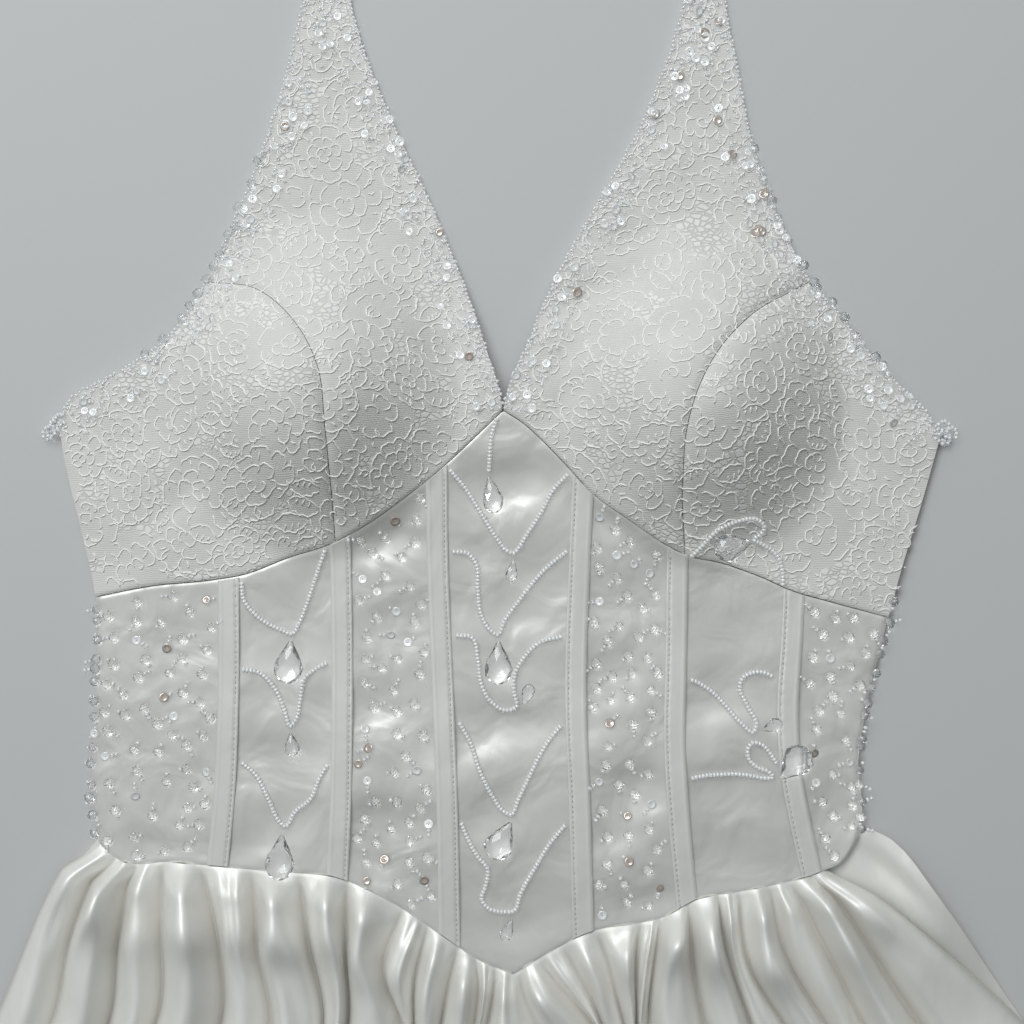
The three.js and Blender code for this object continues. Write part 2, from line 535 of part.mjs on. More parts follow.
// Crystal drops: the tip's place, the direction from tip to foot in degrees from +X, and the length and width.
const DROPS = {
  drop_centre_1: { x: -6.3, y: 173.3, turn: -80, length: 16.5, width: 9.5 },
  drop_centre_2: { x: 5, y: 136.2, turn: -100, length: 10, width: 5.5 },
  drop_centre_3: { x: -2, y: 99.5, turn: -90, length: 19, width: 13 },
  drop_centre_4: { x: 8.8, y: 71, turn: 67, length: 10, width: 6 },
  drop_centre_5: { x: 3.4, y: 18.6, turn: -118, length: 18, width: 13.5 },
  drop_centre_6: { x: 4.1, y: -25, turn: -112, length: 10.5, width: 6 },
  drop_left_1: { x: -95, y: 99.8, turn: -95, length: 19, width: 13.5 },
  drop_left_2: { x: -95.4, y: 58.4, turn: -83, length: 10.5, width: 7 },
  drop_left_3: { x: -98.6, y: 13.2, turn: -95, length: 20, width: 13.5 },
  drop_right_1: { x: 110.2, y: 144.2, turn: 195, length: 16.5, width: 12.5 },
  drop_right_2: { x: 116.4, y: 59.6, turn: 22, length: 9.5, width: 6.5 },
  drop_right_3: { x: 124.7, y: 38.3, turn: 48, length: 17.5, width: 14.5 },
};
const DROP_FLATNESS = 0.5; // thickness over width
const DROP_CLEAR = 0.3;
// Half width and half thickness of a drop along its length, as shares of the greatest ones.
const DROP_RINGS = [
  { at: 0, wide: 0.13, thick: 0.22 },
  { at: 0.16, wide: 0.4, thick: 0.5 },
  { at: 0.42, wide: 0.82, thick: 0.92 },
  { at: 0.66, wide: 1, thick: 1 },
  { at: 0.87, wide: 0.78, thick: 0.8 },
  { at: 1, wide: 0.26, thick: 0.34 },
];
const DROP_FACETS = 8;
function dropShape(length, width) {
  const thick = width * DROP_FLATNESS;
  const position = [];
  const index = [];
  for (const ring of DROP_RINGS)
    for (let k = 0; k < DROP_FACETS; k++) {
      const angle = ((k + 0.5) / DROP_FACETS) * Math.PI * 2;
      position.push(ring.at * length, (ring.wide * width * Math.cos(angle)) / 2, (ring.thick * thick * Math.sin(angle)) / 2);
    }
  const at = (r, k) => r * DROP_FACETS + (k % DROP_FACETS);
  for (let r = 0; r < DROP_RINGS.length - 1; r++)
    for (let k = 0; k < DROP_FACETS; k++)
      index.push(at(r, k), at(r, k + 1), at(r + 1, k + 1), at(r, k), at(r + 1, k + 1), at(r + 1, k));
  const last = DROP_RINGS.length - 1;
  for (let k = 1; k < DROP_FACETS - 1; k++) {
    index.push(at(0, 0), at(0, k + 1), at(0, k));
    index.push(at(last, 0), at(last, k), at(last, k + 1));
  }
  const geometry = new THREE.BufferGeometry();
  geometry.setAttribute("position", new THREE.Float32BufferAttribute(position, 3));
  geometry.setIndex(index);
  return geometry;
}

const dress = new THREE.Group();
dress.name = "wedding_dress";
dress.position.y = ORIGIN_Y;

// The highest point of everything added so far at a place.
const ray = new THREE.Raycaster();
const DOWN = new THREE.Vector3(0, 0, -1);
function topAt(x, y) {
  ray.set(new THREE.Vector3(x, y, 200), DOWN);
  const hit = ray.intersectObjects(dress.children, false)[0];
  return hit ? hit.point.z : 0;
}

// The lowest height at which a drop's axis clears all cloth and strands under it.
const DROP_SAMPLES = { along: 14, across: 8 };
const ringWide = through(DROP_RINGS.map((ring) => [ring.at, ring.wide]));
const ringThick = through(DROP_RINGS.map((ring) => [ring.at, ring.thick]));
function dropHeight({ x, y, turn, length, width }) {
  const angle = THREE.MathUtils.degToRad(turn);
  let z = 0;
  for (const s of shares(DROP_SAMPLES.along))
    for (const w of shares(DROP_SAMPLES.across)) {
      const side = (w - 0.5) * (ringWide(s) * width + 0.3);
      const px = x + s * length * Math.cos(angle) - side * Math.sin(angle);
      const py = y + s * length * Math.sin(angle) + side * Math.cos(angle);
      const belly = ringThick(s) * width * DROP_FLATNESS * 0.5 * Math.sqrt(1 - (2 * w - 1) ** 2 * 0.84);
      z = Math.max(z, topAt(px, py) + belly);
    }
  return z + DROP_CLEAR;
}

// A closed tube of flat facets through knots.
function tube(knots, radius, sides) {
  const position = [];
  const index = [];
  const up = new THREE.Vector3(0, 0, 1);
  for (const [i, knot] of knots.entries()) {
    const ahead = knots[Math.min(knots.length - 1, i + 1)].clone().sub(knots[Math.max(0, i - 1)]).normalize();
    const side = ahead.clone().cross(up).normalize();
    const over = side.clone().cross(ahead);
    for (let k = 0; k < sides; k++) {
      const angle = (k / sides) * Math.PI * 2;
      const point = knot.clone().addScaledVector(side, radius * Math.cos(angle));
      position.push(...point.addScaledVector(over, radius * Math.sin(angle)).toArray());
    }
  }
  const at = (i, k) => i * sides + (k % sides);
  for (let i = 0; i < knots.length - 1; i++)
    for (let k = 0; k < sides; k++) {
      index.push(at(i, k), at(i + 1, k), at(i + 1, k + 1), at(i, k), at(i + 1, k + 1), at(i, k + 1));
    }
  const last = knots.length - 1;
  for (let k = 1; k < sides - 1; k++) {
    index.push(at(0, 0), at(0, k), at(0, k + 1));
    index.push(at(last, 0), at(last, k + 1), at(last, k));
  }
  const geometry = new THREE.BufferGeometry();
  geometry.setAttribute("position", new THREE.Float32BufferAttribute(position, 3));
  geometry.setIndex(index);
  return geometry;
}

// A strand rests on the highest cloth under each stretch between two of its knots.
const STRAND_SIDES = 6;
const STRAND_SAMPLES = 8;
function strandShape(points) {
  const line = curve(points);
  const steps = Math.round(points.length * 1.3);
  const profile = shares(steps * STRAND_SAMPLES).map((t) => {
    const [x, y] = line(t);
    const around = [0, 1, 2, 3, 4, 5].map((k) => (k * Math.PI) / 3);
    const r = STRAND_RADIUS + 0.1;
    return Math.max(topAt(x, y), ...around.map((a) => topAt(x + r * Math.cos(a), y + r * Math.sin(a))));
  });
  const knots = shares(steps).map((t, i) => {
    const near = profile.slice(Math.max(0, (i - 1) * STRAND_SAMPLES), (i + 1) * STRAND_SAMPLES + 1);
    const [x, y] = line(t);
    return new THREE.Vector3(x, y, Math.max(...near) + STRAND_RADIUS + SEAM);
  });
  return tube(knots, STRAND_RADIUS, STRAND_SIDES);
}

// Zip at the centre back, with its slider at the top and the pull tab lying towards the neck.
const SLIDER = { width: 6, length: 9, height: 2.6 };
const PULL = { width: 5, length: 22, thick: 1.2, corner: 2 };
const ZIP_TOP = 100;
function box(width, length, height) {
  const geometry = new THREE.BoxGeometry(width, length, height);
  return geometry.translate(0, length / 2, height / 2);
}
function pullShape() {
  const half = PULL.width / 2;
  const shape = new THREE.Shape();
  shape.moveTo(-half * 0.6, 0);
  shape.lineTo(half * 0.6, 0);
  shape.lineTo(half, PULL.length - PULL.corner);
  shape.lineTo(half - PULL.corner, PULL.length);
  shape.lineTo(-half + PULL.corner, PULL.length);
  shape.lineTo(-half, PULL.length - PULL.corner);
  return new THREE.ExtrudeGeometry(shape, { depth: PULL.thick, bevelEnabled: false });
}

const BUTTON = { radius: 6, height: 4.2 };
function buttonShape() {
  const { radius, height } = BUTTON;
  const profile = [[0, 0], [radius * 0.8, 0], [radius, height * 0.35], [radius * 0.86, height * 0.7],
    [radius * 0.5, height * 0.94], [0, height]];
  const geometry = new THREE.LatheGeometry(profile.map(([r, z]) => new THREE.Vector2(r, z)), 16);
  return geometry.rotateX(Math.PI / 2);
}

function add(name, geometry, finish, at = [0, 0, 0], turn = 0) {
  const [color, roughness, metalness] = FINISHES[finish];
  const mesh = new THREE.Mesh(geometry, new THREE.MeshStandardMaterial({ color, roughness, metalness }));
  mesh.name = name;
  mesh.position.set(...at);
  mesh.rotation.z = turn;
  dress.add(mesh);
}

// The left strap's nape end climbs over the right one, where a covered button holds them.
const napeClimb = (x, y) => (y > 470 ? LAP_CLIMB * ease(-30, -9, x) : 0);
for (const side of ["left", "right"]) {
  const height = side === "left" ? (x, y) => under(x, y) + napeClimb(x, y) : under;
  add(`front_lace_inner_${side}`, clothWall(laceInner(side), shares(9), LACE_ROWS, height, LACE), "lace");
  add(`front_lace_outer_${side}`, clothWall(laceOuter(side), shares(10), shares(12), under, LACE), "lace");
  add(`back_bodice_${side}`, clothWall(bodiceBack(side), shares(6), shares(5), () => 0, BACK), "satin");
  add(`skirt_back_${side}`, clothWall(skirtBack(side), shares(10), BACK_ROWS, backUnder, BACK), "satin");
}
for (const [name, [left, right]] of Object.entries(PANELS)) {
  const across = PANEL_COLUMNS[name] ?? shares(5);
  add(name, clothWall(panel(left, right), across, shares(9), under, SATIN), "satin");
}
for (const [name, seam] of Object.entries(SEAMS)) {
  const height = (x, y) => under(x, y) + SATIN + SEAM;
  add(`casing_${name}`, clothWall(casing(seam), shares(2), shares(9), height, CASING_WALL), "casing");
}
add("skirt_front", skirtFront(), "satin");
for (const [name, points] of Object.entries(STRANDS)) add(name, strandShape(points), "beads");
for (const [name, drop] of Object.entries(DROPS))
  add(name, dropShape(drop.length, drop.width), "crystal", [drop.x, drop.y, dropHeight(drop)],
    THREE.MathUtils.degToRad(drop.turn));

const zipLength = ZIP_TOP - ZIP_FOOT;
add("zip_chain", box(2 * ZIP_HALF, zipLength, BACK), "satin", [0, ZIP_FOOT, 0]);
add("zip_slider", box(SLIDER.width, SLIDER.length, SLIDER.height), "metal", [0, ZIP_TOP + SEAM, 0]);
add("zip_pull", pullShape(), "metal", [0, ZIP_TOP + SEAM + SLIDER.length + SEAM, 0]);
add("nape_button", buttonShape(), "satin", [6, 497, LACE + LAP_CLIMB + SEAM]);

export default dress;
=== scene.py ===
# %% [markdown]
# # A beaded wedding dress, laid out flat
#
# A halter-neck wedding dress lies on its back on a table. Lace covers two padded cups and the straps that
# grow out of them. Below them sit seven satin panels with boning casings over their seams, then a full skirt
# that is gathered into a pointed waist seam. The CAD model gives the size and place of every piece. Here it
# is dressed: fine folds, corded lace, thousands of beads, stitching, and glass drops that really refract.

# %% The frame and its helpers
import math

import bpy
import numpy as np
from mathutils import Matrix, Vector
from mathutils.bvhtree import BVHTree


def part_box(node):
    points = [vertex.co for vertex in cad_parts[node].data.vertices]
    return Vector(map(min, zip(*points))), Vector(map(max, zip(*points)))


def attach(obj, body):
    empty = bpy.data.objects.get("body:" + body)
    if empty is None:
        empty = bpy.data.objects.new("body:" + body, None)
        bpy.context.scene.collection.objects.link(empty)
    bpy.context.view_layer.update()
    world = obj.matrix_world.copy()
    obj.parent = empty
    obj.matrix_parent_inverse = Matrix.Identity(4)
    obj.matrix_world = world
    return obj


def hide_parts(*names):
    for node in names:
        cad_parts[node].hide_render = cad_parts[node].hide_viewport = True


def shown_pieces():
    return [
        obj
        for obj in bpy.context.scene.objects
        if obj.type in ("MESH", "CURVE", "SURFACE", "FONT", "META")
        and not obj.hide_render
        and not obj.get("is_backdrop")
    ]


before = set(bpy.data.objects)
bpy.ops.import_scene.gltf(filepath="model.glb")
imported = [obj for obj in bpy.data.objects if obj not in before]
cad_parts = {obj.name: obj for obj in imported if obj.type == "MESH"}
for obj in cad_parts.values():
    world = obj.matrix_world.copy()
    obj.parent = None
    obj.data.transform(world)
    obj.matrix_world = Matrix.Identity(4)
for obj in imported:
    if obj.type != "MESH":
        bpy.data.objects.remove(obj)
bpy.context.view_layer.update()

# %% [markdown]
# ## Working in millimetres
#
# The dress is drawn in millimetres from the centre front and the side waist, as a pattern cutter would.
# The frame's origin lies 285 mm further down, so one function turns drawing places into frame places.

# %% From the drawing to the frame
MM = 0.001
SHIFT = 285.0


def to_frame(points):
    points = np.asarray(points, float)
    return (points + [0.0, SHIFT, 0.0]) * MM


def mix(a, b, t):
    return a + (b - a) * t


def ease(a, b, x):
    t = np.clip((np.asarray(x, float) - a) / (b - a), 0, 1)
    return t * t * (3 - 2 * t)

# %% [markdown]
# ## Smooth curves through a few measured points
#
# Seams and edges are smooth lines through points that a person could measure with a ruler. One could trace
# them densely instead, but a cubic through a few points, with slopes taken from their neighbours, is easier
# to read and to change, and it never wanders far from the points.

# %% Smooth functions and plane curves
def through(rows):
    """y as a smooth function of x, through rows of x and y, and straight beyond them."""
    xs, ys = np.array(rows, float).T
    slopes = np.diff(ys) / np.diff(xs)
    tangents = np.empty_like(ys)
    tangents[0], tangents[-1] = slopes[0], slopes[-1]
    gaps = np.diff(xs)
    tangents[1:-1] = (slopes[:-1] * gaps[1:] + slopes[1:] * gaps[:-1]) / (gaps[:-1] + gaps[1:])

    def value(x):
        x = np.asarray(x, float)
        i = np.clip(np.searchsorted(xs, x, side="right") - 1, 0, len(xs) - 2)
        h = xs[i + 1] - xs[i]
        t = np.clip((x - xs[i]) / h, 0, 1)
        inside = ((2 * t**3 - 3 * t**2 + 1) * ys[i] + (t**3 - 2 * t**2 + t) * h * tangents[i]
                  + (3 * t**2 - 2 * t**3) * ys[i + 1] + (t**3 - t**2) * h * tangents[i + 1])
        before = np.minimum(x - xs[0], 0) * tangents[0]
        after = np.maximum(x - xs[-1], 0) * tangents[-1]
        return inside + before + after

    return value


def curve(points):
    """A smooth line through points, read with t from 0 at its start to 1 at its end."""
    points = np.array(points, float)
    along = np.concatenate([[0], np.cumsum(np.hypot(*np.diff(points, axis=0).T))])
    x, y = through(np.c_[along, points[:, 0]]), through(np.c_[along, points[:, 1]])
    return lambda t: np.stack([x(np.asarray(t) * along[-1]), y(np.asarray(t) * along[-1])], -1)


def joined(first, second, share):
    """Two lines one after the other. The first takes up that share of t."""
    def place(t):
        t = np.asarray(t, float)
        low = np.clip(t / share, 0, 1)
        high = np.clip((t - share) / (1 - share), 0, 1)
        return np.where((t <= share)[..., None], first(low), second(high))
    return place


def moved(line, distance):
    """A line moved sideways, to its left where distance is positive."""
    def place(t):
        t = np.asarray(t, float)
        step = line(np.minimum(t + 1e-3, 1)) - line(np.maximum(t - 1e-3, 0))
        step = step / np.linalg.norm(step, axis=-1, keepdims=True)
        return line(t) + np.stack([-step[..., 1], step[..., 0]], -1) * distance
    return place

# %% [markdown]
# ## The outlines
#
# These are the seams and edges of the front, from the underarm corners to the nape. The two sides differ a
# little, because a dress never lies quite square.

# %% Outlines of the front
ARMHOLE = {
    "left": [(-201, 196), (-196, 208), (-181, 217), (-165, 226), (-152, 236), (-141, 250), (-134, 262)],
    "right": [(198, 192), (191, 203), (177, 217), (161, 235), (149, 251), (139, 262)],
}
STRAP_OUTER = {
    "left": [(-134, 262), (-122, 289), (-108, 325), (-97, 361), (-91, 388), (-88, 420), (-78, 456),
             (-55, 486), (-26, 502), (6, 507)],
    "right": [(139, 262), (126, 289), (113, 325), (106, 361), (101, 388), (100, 420), (90, 456),
              (67, 486), (38, 502), (6, 507)],
}
NECK_EDGE = {
    "left": [(-0.4, 203.4), (-1, 208), (-9, 235), (-15, 253), (-22, 271)],
    "right": [(0.4, 203.4), (1, 208), (12, 235), (19, 253), (28, 271)],
}
STRAP_INNER = {
    "left": [(-22, 271), (-33, 298), (-50, 334), (-64, 370), (-69, 388), (-69, 416), (-61, 444),
             (-43, 467), (-20, 481), (6, 487)],
    "right": [(28, 271), (43, 298), (63, 334), (77, 370), (82, 388), (82, 416), (74, 444), (56, 467),
              (33, 481), (6, 487)],
}
CUP_SEAM = {
    "left": [(-75.6, 144), (-76, 172), (-77, 195), (-80, 221), (-92, 242), (-112, 258), (-134, 262)],
    "right": [(82, 138.6), (79, 172), (80, 195), (84, 210), (93, 227), (109, 244), (139, 262)],
}
SIDE_EDGE = {
    "left": through([(-6, -176), (7, -182.5), (19, -185.4), (37, -186.3), (73, -184.5), (119, -184.5),
                     (145, -190), (181, -198.5), (196, -201)]),
    "right": through([(-6, 152), (8, 159), (19, 161.8), (46, 160.7), (64, 163.5), (100, 172), (127, 179),
                      (163, 190), (192, 198)]),
}
UNDERBUST = {
    "left": through([(-184.5, 118.8), (-159, 123.8), (-132, 126.5), (-118, 128.8), (-96, 137),
                     (-78, 142.7), (-61, 151.7), (-46, 162.2), (-26, 178.4), (-10, 193.4), (0, 203)]),
    "right": through([(0, 203), (8, 198), (26, 181), (40, 166), (57, 153.5), (73, 142.7), (83, 137.7),
                      (98, 134.4), (116, 128.2), (131, 121.6), (147, 117), (173, 110)]),
}
POINT_X = 5
WAIST = {
    "left": through([(-182.5, 7), (-175, 1), (-150, -0.5), (-124, -2.7), (-96, -5), (-78, -6.3), (-64, -11),
                     (-46, -20.7), (-28, -33), (-10, -45), (POINT_X, -51)]),
    "right": through([(POINT_X, -51), (21, -41), (40, -31.5), (62, -27.5), (71, -25.5), (87, -17.2),
                      (107, -13.5), (125, -10), (143, -5), (154, 1), (159, 8)]),
}
SEAMS = {
    "left_1": through([(-37, -24), (28, -25.2), (73, -27), (136, -29.5), (175, -29.8)]),
    "left_2": through([(-8, -74.5), (28, -73), (73, -72.5), (145, -73.4)]),
    "left_3": through([(-3, -128.7), (34, -125.3), (73, -124), (128, -124)]),
    "right_1": through([(-34, 36.2), (28, 34.4), (73, 32.8), (136, 34.6), (170, 36)]),
    "right_2": through([(-20, 83), (17, 79.4), (50, 77.4), (100, 78.3), (140, 78.7)]),
    "right_3": through([(-6, 139.3), (18, 133.9), (37, 130.3), (68, 128.5), (100, 130.5), (122, 131.6)]),
}
SEAM = 0.3


def underbust(x):
    return np.where(x < 0, UNDERBUST["left"](x), UNDERBUST["right"](x))


def waist(x):
    return np.where(x < POINT_X, WAIST["left"](x), WAIST["right"](x))

# %% [markdown]
# ## One height for the whole front
#
# Every front piece is cut out of one surface, so that neighbours meet at the same height. The back lies
# under it, boning holds the middle a few millimetres up, and the two padded cups stand up as domes. Beside
# the right waist a puff of the back skirt lifts the edge.

# %% Heights of the front
SATIN, LACE, SKIRT, BACK, LAYER_GAP, LOFT = 1.6, 2.2, 1.4, 1.4, 0.35, 6.0
CUPS = [dict(x=-86, y=212, across=67, up=84, down=78), dict(x=91, y=209, across=67, up=86, down=79)]
CUP_HEIGHT, CUP_FULLNESS = 34, 1.8
PUFF = dict(x=194, y=-18, along=34, across=17, height=9, lean=0.84)


def puff(x, y):
    c, s = math.cos(PUFF["lean"]), math.sin(PUFF["lean"])
    along = ((x - PUFF["x"]) * c - (y - PUFF["y"]) * s) / PUFF["along"]
    across = ((x - PUFF["x"]) * s + (y - PUFF["y"]) * c) / PUFF["across"]
    return PUFF["height"] * np.exp(-(along**2 + across**2))


def cup_radius(cup, x, y):
    dy = (y - cup["y"]) / np.where(y > cup["y"], cup["up"], cup["down"])
    return ((x - cup["x"]) / cup["across"]) ** 2 + dy**2


def cup_dome(x, y):
    return sum(CUP_HEIGHT * np.clip(1 - cup_radius(cup, x, y), 0, 1) ** CUP_FULLNESS for cup in CUPS)


def over_back(y):
    """One where the back lies under the front, and nothing above its upper edge."""
    return 1 - ease(215, 262, y)


def under(x, y):
    """The height of the front's underside, before any slack."""
    rise = LOFT * (1 - ease(205, 300, y)) * (1 - np.minimum(1, np.abs(x / 188)) ** 2.4)
    rise = rise * (1 - 0.3 * (1 + np.sin((y - 68) / 30.2)) * (1 - ease(190, 230, y)))
    return over_back(y) * (BACK + LAYER_GAP) + rise + puff(x, y) + cup_dome(x, y)

# %% [markdown]
# ## Slack in the satin
#
# Satin between two bones is never quite flat. Long soft waves run across each panel and die out at its seams,
# where the stitching holds the cloth. A sum of a few slow sine waves with seeded phases gives them.

# %% Soft waves
def waves(seed, count, shortest, longest, slant=0.5):
    draw = np.random.default_rng(seed)
    length = draw.uniform(shortest, longest, count)
    angle = draw.normal(math.pi / 2, slant, count)
    phase = draw.uniform(0, 2 * math.pi, count)
    bend = draw.uniform(0.3, 1.3, count)

    def value(x, y):
        total = 0
        for k in range(count):
            along = (x * math.cos(angle[k]) + y * math.sin(angle[k])) * 2 * math.pi / length[k]
            total = total + np.sin(along + phase[k] + bend[k] * np.sin(x / 19 + y / 27 + phase[k]))
        return np.tanh(total / (1.6 * math.sqrt(count)))

    return value


panel_waves = waves(4, 6, 26, 66, slant=0.6)
lace_waves = waves(9, 6, 16, 44, slant=1.2)

# %% [markdown]
# ## Building meshes
#
# Every piece here is made from arrays of points and faces, which is quick even for thousands of beads. Each
# one rides on a body of the frame and says which material slot it belongs to.

# %% One piece
def make_object(name, points, faces, material, body="root", smooth=True, sharp=None):
    """faces is a list of arrays, one for each number of corners."""
    faces = [np.asarray(group, int) for group in faces if len(group)]
    corners = np.concatenate([group.ravel() for group in faces])
    sizes = np.concatenate([np.full(len(group), group.shape[1]) for group in faces])
    mesh = bpy.data.meshes.new(name)
    mesh.vertices.add(len(points))
    mesh.vertices.foreach_set("co", to_frame(points).astype(np.float32).ravel())
    mesh.loops.add(len(corners))
    mesh.loops.foreach_set("vertex_index", corners.astype(np.int32))
    mesh.polygons.add(len(sizes))
    mesh.polygons.foreach_set("loop_start", np.concatenate([[0], np.cumsum(sizes)[:-1]]).astype(np.int32))
    mesh.update(calc_edges=True)
    mesh.polygons.foreach_set("use_smooth", np.full(len(sizes), smooth))
    if sharp is not None:
        ends = np.empty(len(mesh.edges) * 2, np.int32)
        mesh.edges.foreach_get("vertices", ends)
        a, b = ends.reshape(-1, 2).T
        sharp_edges = mesh.attributes.new("sharp_edge", "BOOLEAN", "EDGE")
        sharp_edges.data.foreach_set("value", (sharp[a] == sharp[b]) & (sharp[a] > 0))
    mesh.materials.append(material)
    piece = bpy.data.objects.new(name, mesh)
    bpy.context.scene.collection.objects.link(piece)
    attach(piece, body)
    return piece

# %% [markdown]
# A cloth piece is a closed wall: a grid of upper points, a coarser grid of lower points and a rim between
# them. A Solidify modifier could thicken a sheet too, but it would spend as many faces on the hidden side as
# on the one that shows. The rim edges are marked sharp, so that light breaks at the cut edge.

# %% A closed wall
def wall(upper, lower, coarse=4):
    """A closed wall. Its hidden lower side keeps only one grid line out of coarse."""
    n, m = upper.shape[:2]
    assert (n - 1) % coarse == 0 and (m - 1) % coarse == 0, (n, m)
    lower = lower[::coarse, ::coarse]

    def quads(ids, flip):
        q = np.stack([ids[:-1, :-1], ids[1:, :-1], ids[1:, 1:], ids[:-1, 1:]], -1).reshape(-1, 4)
        return q[:, ::-1] if flip else q

    def ring(ids):
        return np.concatenate([ids[:-1, 0], ids[-1, :-1], ids[:0:-1, -1], ids[0, :0:-1]])

    ids = np.arange(n * m).reshape(n, m)
    low = n * m + np.arange(lower.shape[0] * lower.shape[1]).reshape(lower.shape[:2])
    top_ring, low_ring = ring(ids), ring(low)
    steps = (np.arange(len(low_ring))[:, None] * coarse + np.arange(coarse, -1, -1)) % len(top_ring)
    rim = np.concatenate([np.stack([low_ring, np.roll(low_ring, -1)], -1), top_ring[steps]], 1)
    sharp = np.zeros(n * m + low.size, int)
    sharp[top_ring], sharp[low_ring] = 1, 2
    points = np.concatenate([upper.reshape(-1, 3), lower.reshape(-1, 3)])
    return points, [np.concatenate([quads(ids, False), quads(low, True)]), rim], sharp

# %% [markdown]
# A sheet is described by its patch on the table and by a height for each place. Its thickness is laid off at
# right angles to its slope. Slack lets it sink, but never through the back piece below. The upper sides of
# the front are kept in a list, because the beads will be set down on them later.

# %% A sheet of cloth
SLOPE_STEP, BACK_CLEAR, LEAST_WALL = 0.4, 0.1, 0.6
front_cloth = []


def cloth_grid(place, across, along, height, thickness, slack=None, both_sides=True):
    u, v = np.meshgrid(across, along, indexing="ij")
    xy = place(u, v)
    x, y = xy[..., 0], xy[..., 1]

    def top(a, b):
        return height(a, b) + thickness

    step = SLOPE_STEP
    normal = np.stack([top(x - step, y) - top(x + step, y), top(x, y - step) - top(x, y + step),
                       np.full_like(x, 2 * step)], -1)
    normal /= np.linalg.norm(normal, axis=-1, keepdims=True)
    upper = np.stack([x, y, top(x, y)], -1)
    lower = upper - normal * thickness
    lower[..., 2] = np.maximum(lower[..., 2], 0)
    if slack is not None:
        sunk = slack(x, y, u, v)
        floor = over_back(y) * (BACK + BACK_CLEAR)
        upper[..., 2] = np.maximum(upper[..., 2] - sunk, floor + LEAST_WALL)
        if both_sides:
            lower[..., 2] = np.maximum(lower[..., 2] - sunk, floor)
        front_cloth.append(upper)
    return upper, lower


# %% [markdown]
# ## Materials from nodes
#
# Satin is a smooth weave: it reflects in soft, broad bands. Its colour wanders a little from thread to
# thread, and a very fine ribbed bump breaks up the shine. Everything is computed from the place on the dress,
# so the weave keeps its scale on every piece and no picture has to be wrapped round it.

# %% Node helpers
def new_material(name, color, roughness, **sockets):
    material = bpy.data.materials.new(name)
    material.use_nodes = True
    shader = material.node_tree.nodes["Principled BSDF"]
    shader.inputs["Base Color"].default_value = (*color, 1)
    shader.inputs["Roughness"].default_value = roughness
    for key, value in sockets.items():
        shader.inputs[key.replace("_", " ")].default_value = value
    return material, material.node_tree, shader


def add_node(tree, kind, settings=None, **inputs):
    """A new node. An input is named by its label, or as i0, i1 and so on by its number."""
    new = tree.nodes.new(kind)
    for key, value in (settings or {}).items():
        setattr(new, key, value)
    for key, value in inputs.items():
        numbered = key[0] == "i" and key[1:].isdigit()
        socket = new.inputs[int(key[1:]) if numbered else key.replace("_", " ")]
        if isinstance(value, bpy.types.NodeSocket):
            tree.links.new(value, socket)
        else:
            socket.default_value = value
    return new


def roughen(tree, shader, height, strength, distance):
    """A bump from a height. Distance is in metres."""
    bump = add_node(tree, "ShaderNodeBump", Strength=strength, Distance=distance, Height=height)
    tree.links.new(bump.outputs["Normal"], shader.inputs["Normal"])


def object_place(tree):
    return add_node(tree, "ShaderNodeTexCoord").outputs["Object"]


def math_node(tree, operation, a, b=0.0):
    return add_node(tree, "ShaderNodeMath", {"operation": operation}, i0=a, i1=b).outputs[0]


def color_between(tree, share, dark, light):
    ramp = add_node(tree, "ShaderNodeMix", {"data_type": "RGBA"}, i0=share)
    ramp.inputs[6].default_value = (*dark, 1)
    ramp.inputs[7].default_value = (*light, 1)
    return ramp.outputs[2]

# %% [markdown]
# Three satins are needed: the heavy panel satin of the waist, the softer one of the skirt, and the folded
# strips of the casings. A broad noise bump stands for the slight crumple between the modelled folds. Where
# two folds meet, a painted shade that is stored on the mesh darkens the satin's colour along the valley.

# %% Satin
# Painted shade: a dark brownish colour mixed into the satin along the skirt's fold valleys, in place of their
# shadow.
PAINTED_VALLEY_SHADE_COLOR = (0.30, 0.27, 0.22)


def satin_material(name, dark, light, roughness, metallic, stretch, crumpled):
    material, tree, shader = new_material(name, light, roughness, Sheen_Weight=0.15, Sheen_Roughness=0.35,
                                          Metallic=metallic)
    place = object_place(tree)
    cloud = add_node(tree, "ShaderNodeTexNoise", Vector=place, Scale=38.0, Detail=5.0, Roughness=0.6)
    thread = color_between(tree, cloud.outputs["Fac"], dark, light)
    color = add_node(tree, "ShaderNodeMix", {"data_type": "RGBA"}, i6=thread)
    color.inputs[7].default_value = (*PAINTED_VALLEY_SHADE_COLOR, 1)
    # The stored valley mask mixes in the painted shade colour.
    painted_shade = add_node(tree, "ShaderNodeAttribute", {"attribute_name": "valley"}).outputs["Fac"]
    tree.links.new(painted_shade, color.inputs[0])
    tree.links.new(color.outputs[2], shader.inputs["Base Color"])
    soft = add_node(tree, "ShaderNodeMapping", Vector=place, Scale=stretch).outputs[0]
    crumple = add_node(tree, "ShaderNodeTexNoise", Vector=soft, Scale=42.0, Detail=2.5, Roughness=0.45,
                       Distortion=0.6)
    wide = add_node(tree, "ShaderNodeBump", Strength=crumpled, Distance=0.0022, Height=crumple.outputs["Fac"])
    rib = add_node(tree, "ShaderNodeTexWave", {"bands_direction": "DIAGONAL"}, Vector=place, Scale=520.0,
                   Distortion=1.5, Detail=2.0)
    grain = add_node(tree, "ShaderNodeTexNoise", Vector=place, Scale=2400.0, Detail=3.0)
    weave = math_node(tree, "ADD", rib.outputs["Fac"], grain.outputs["Fac"])
    bump = add_node(tree, "ShaderNodeBump", Strength=0.14, Distance=0.0001, Height=weave,
                    Normal=wide.outputs[0])
    tree.links.new(bump.outputs["Normal"], shader.inputs["Normal"])
    return material


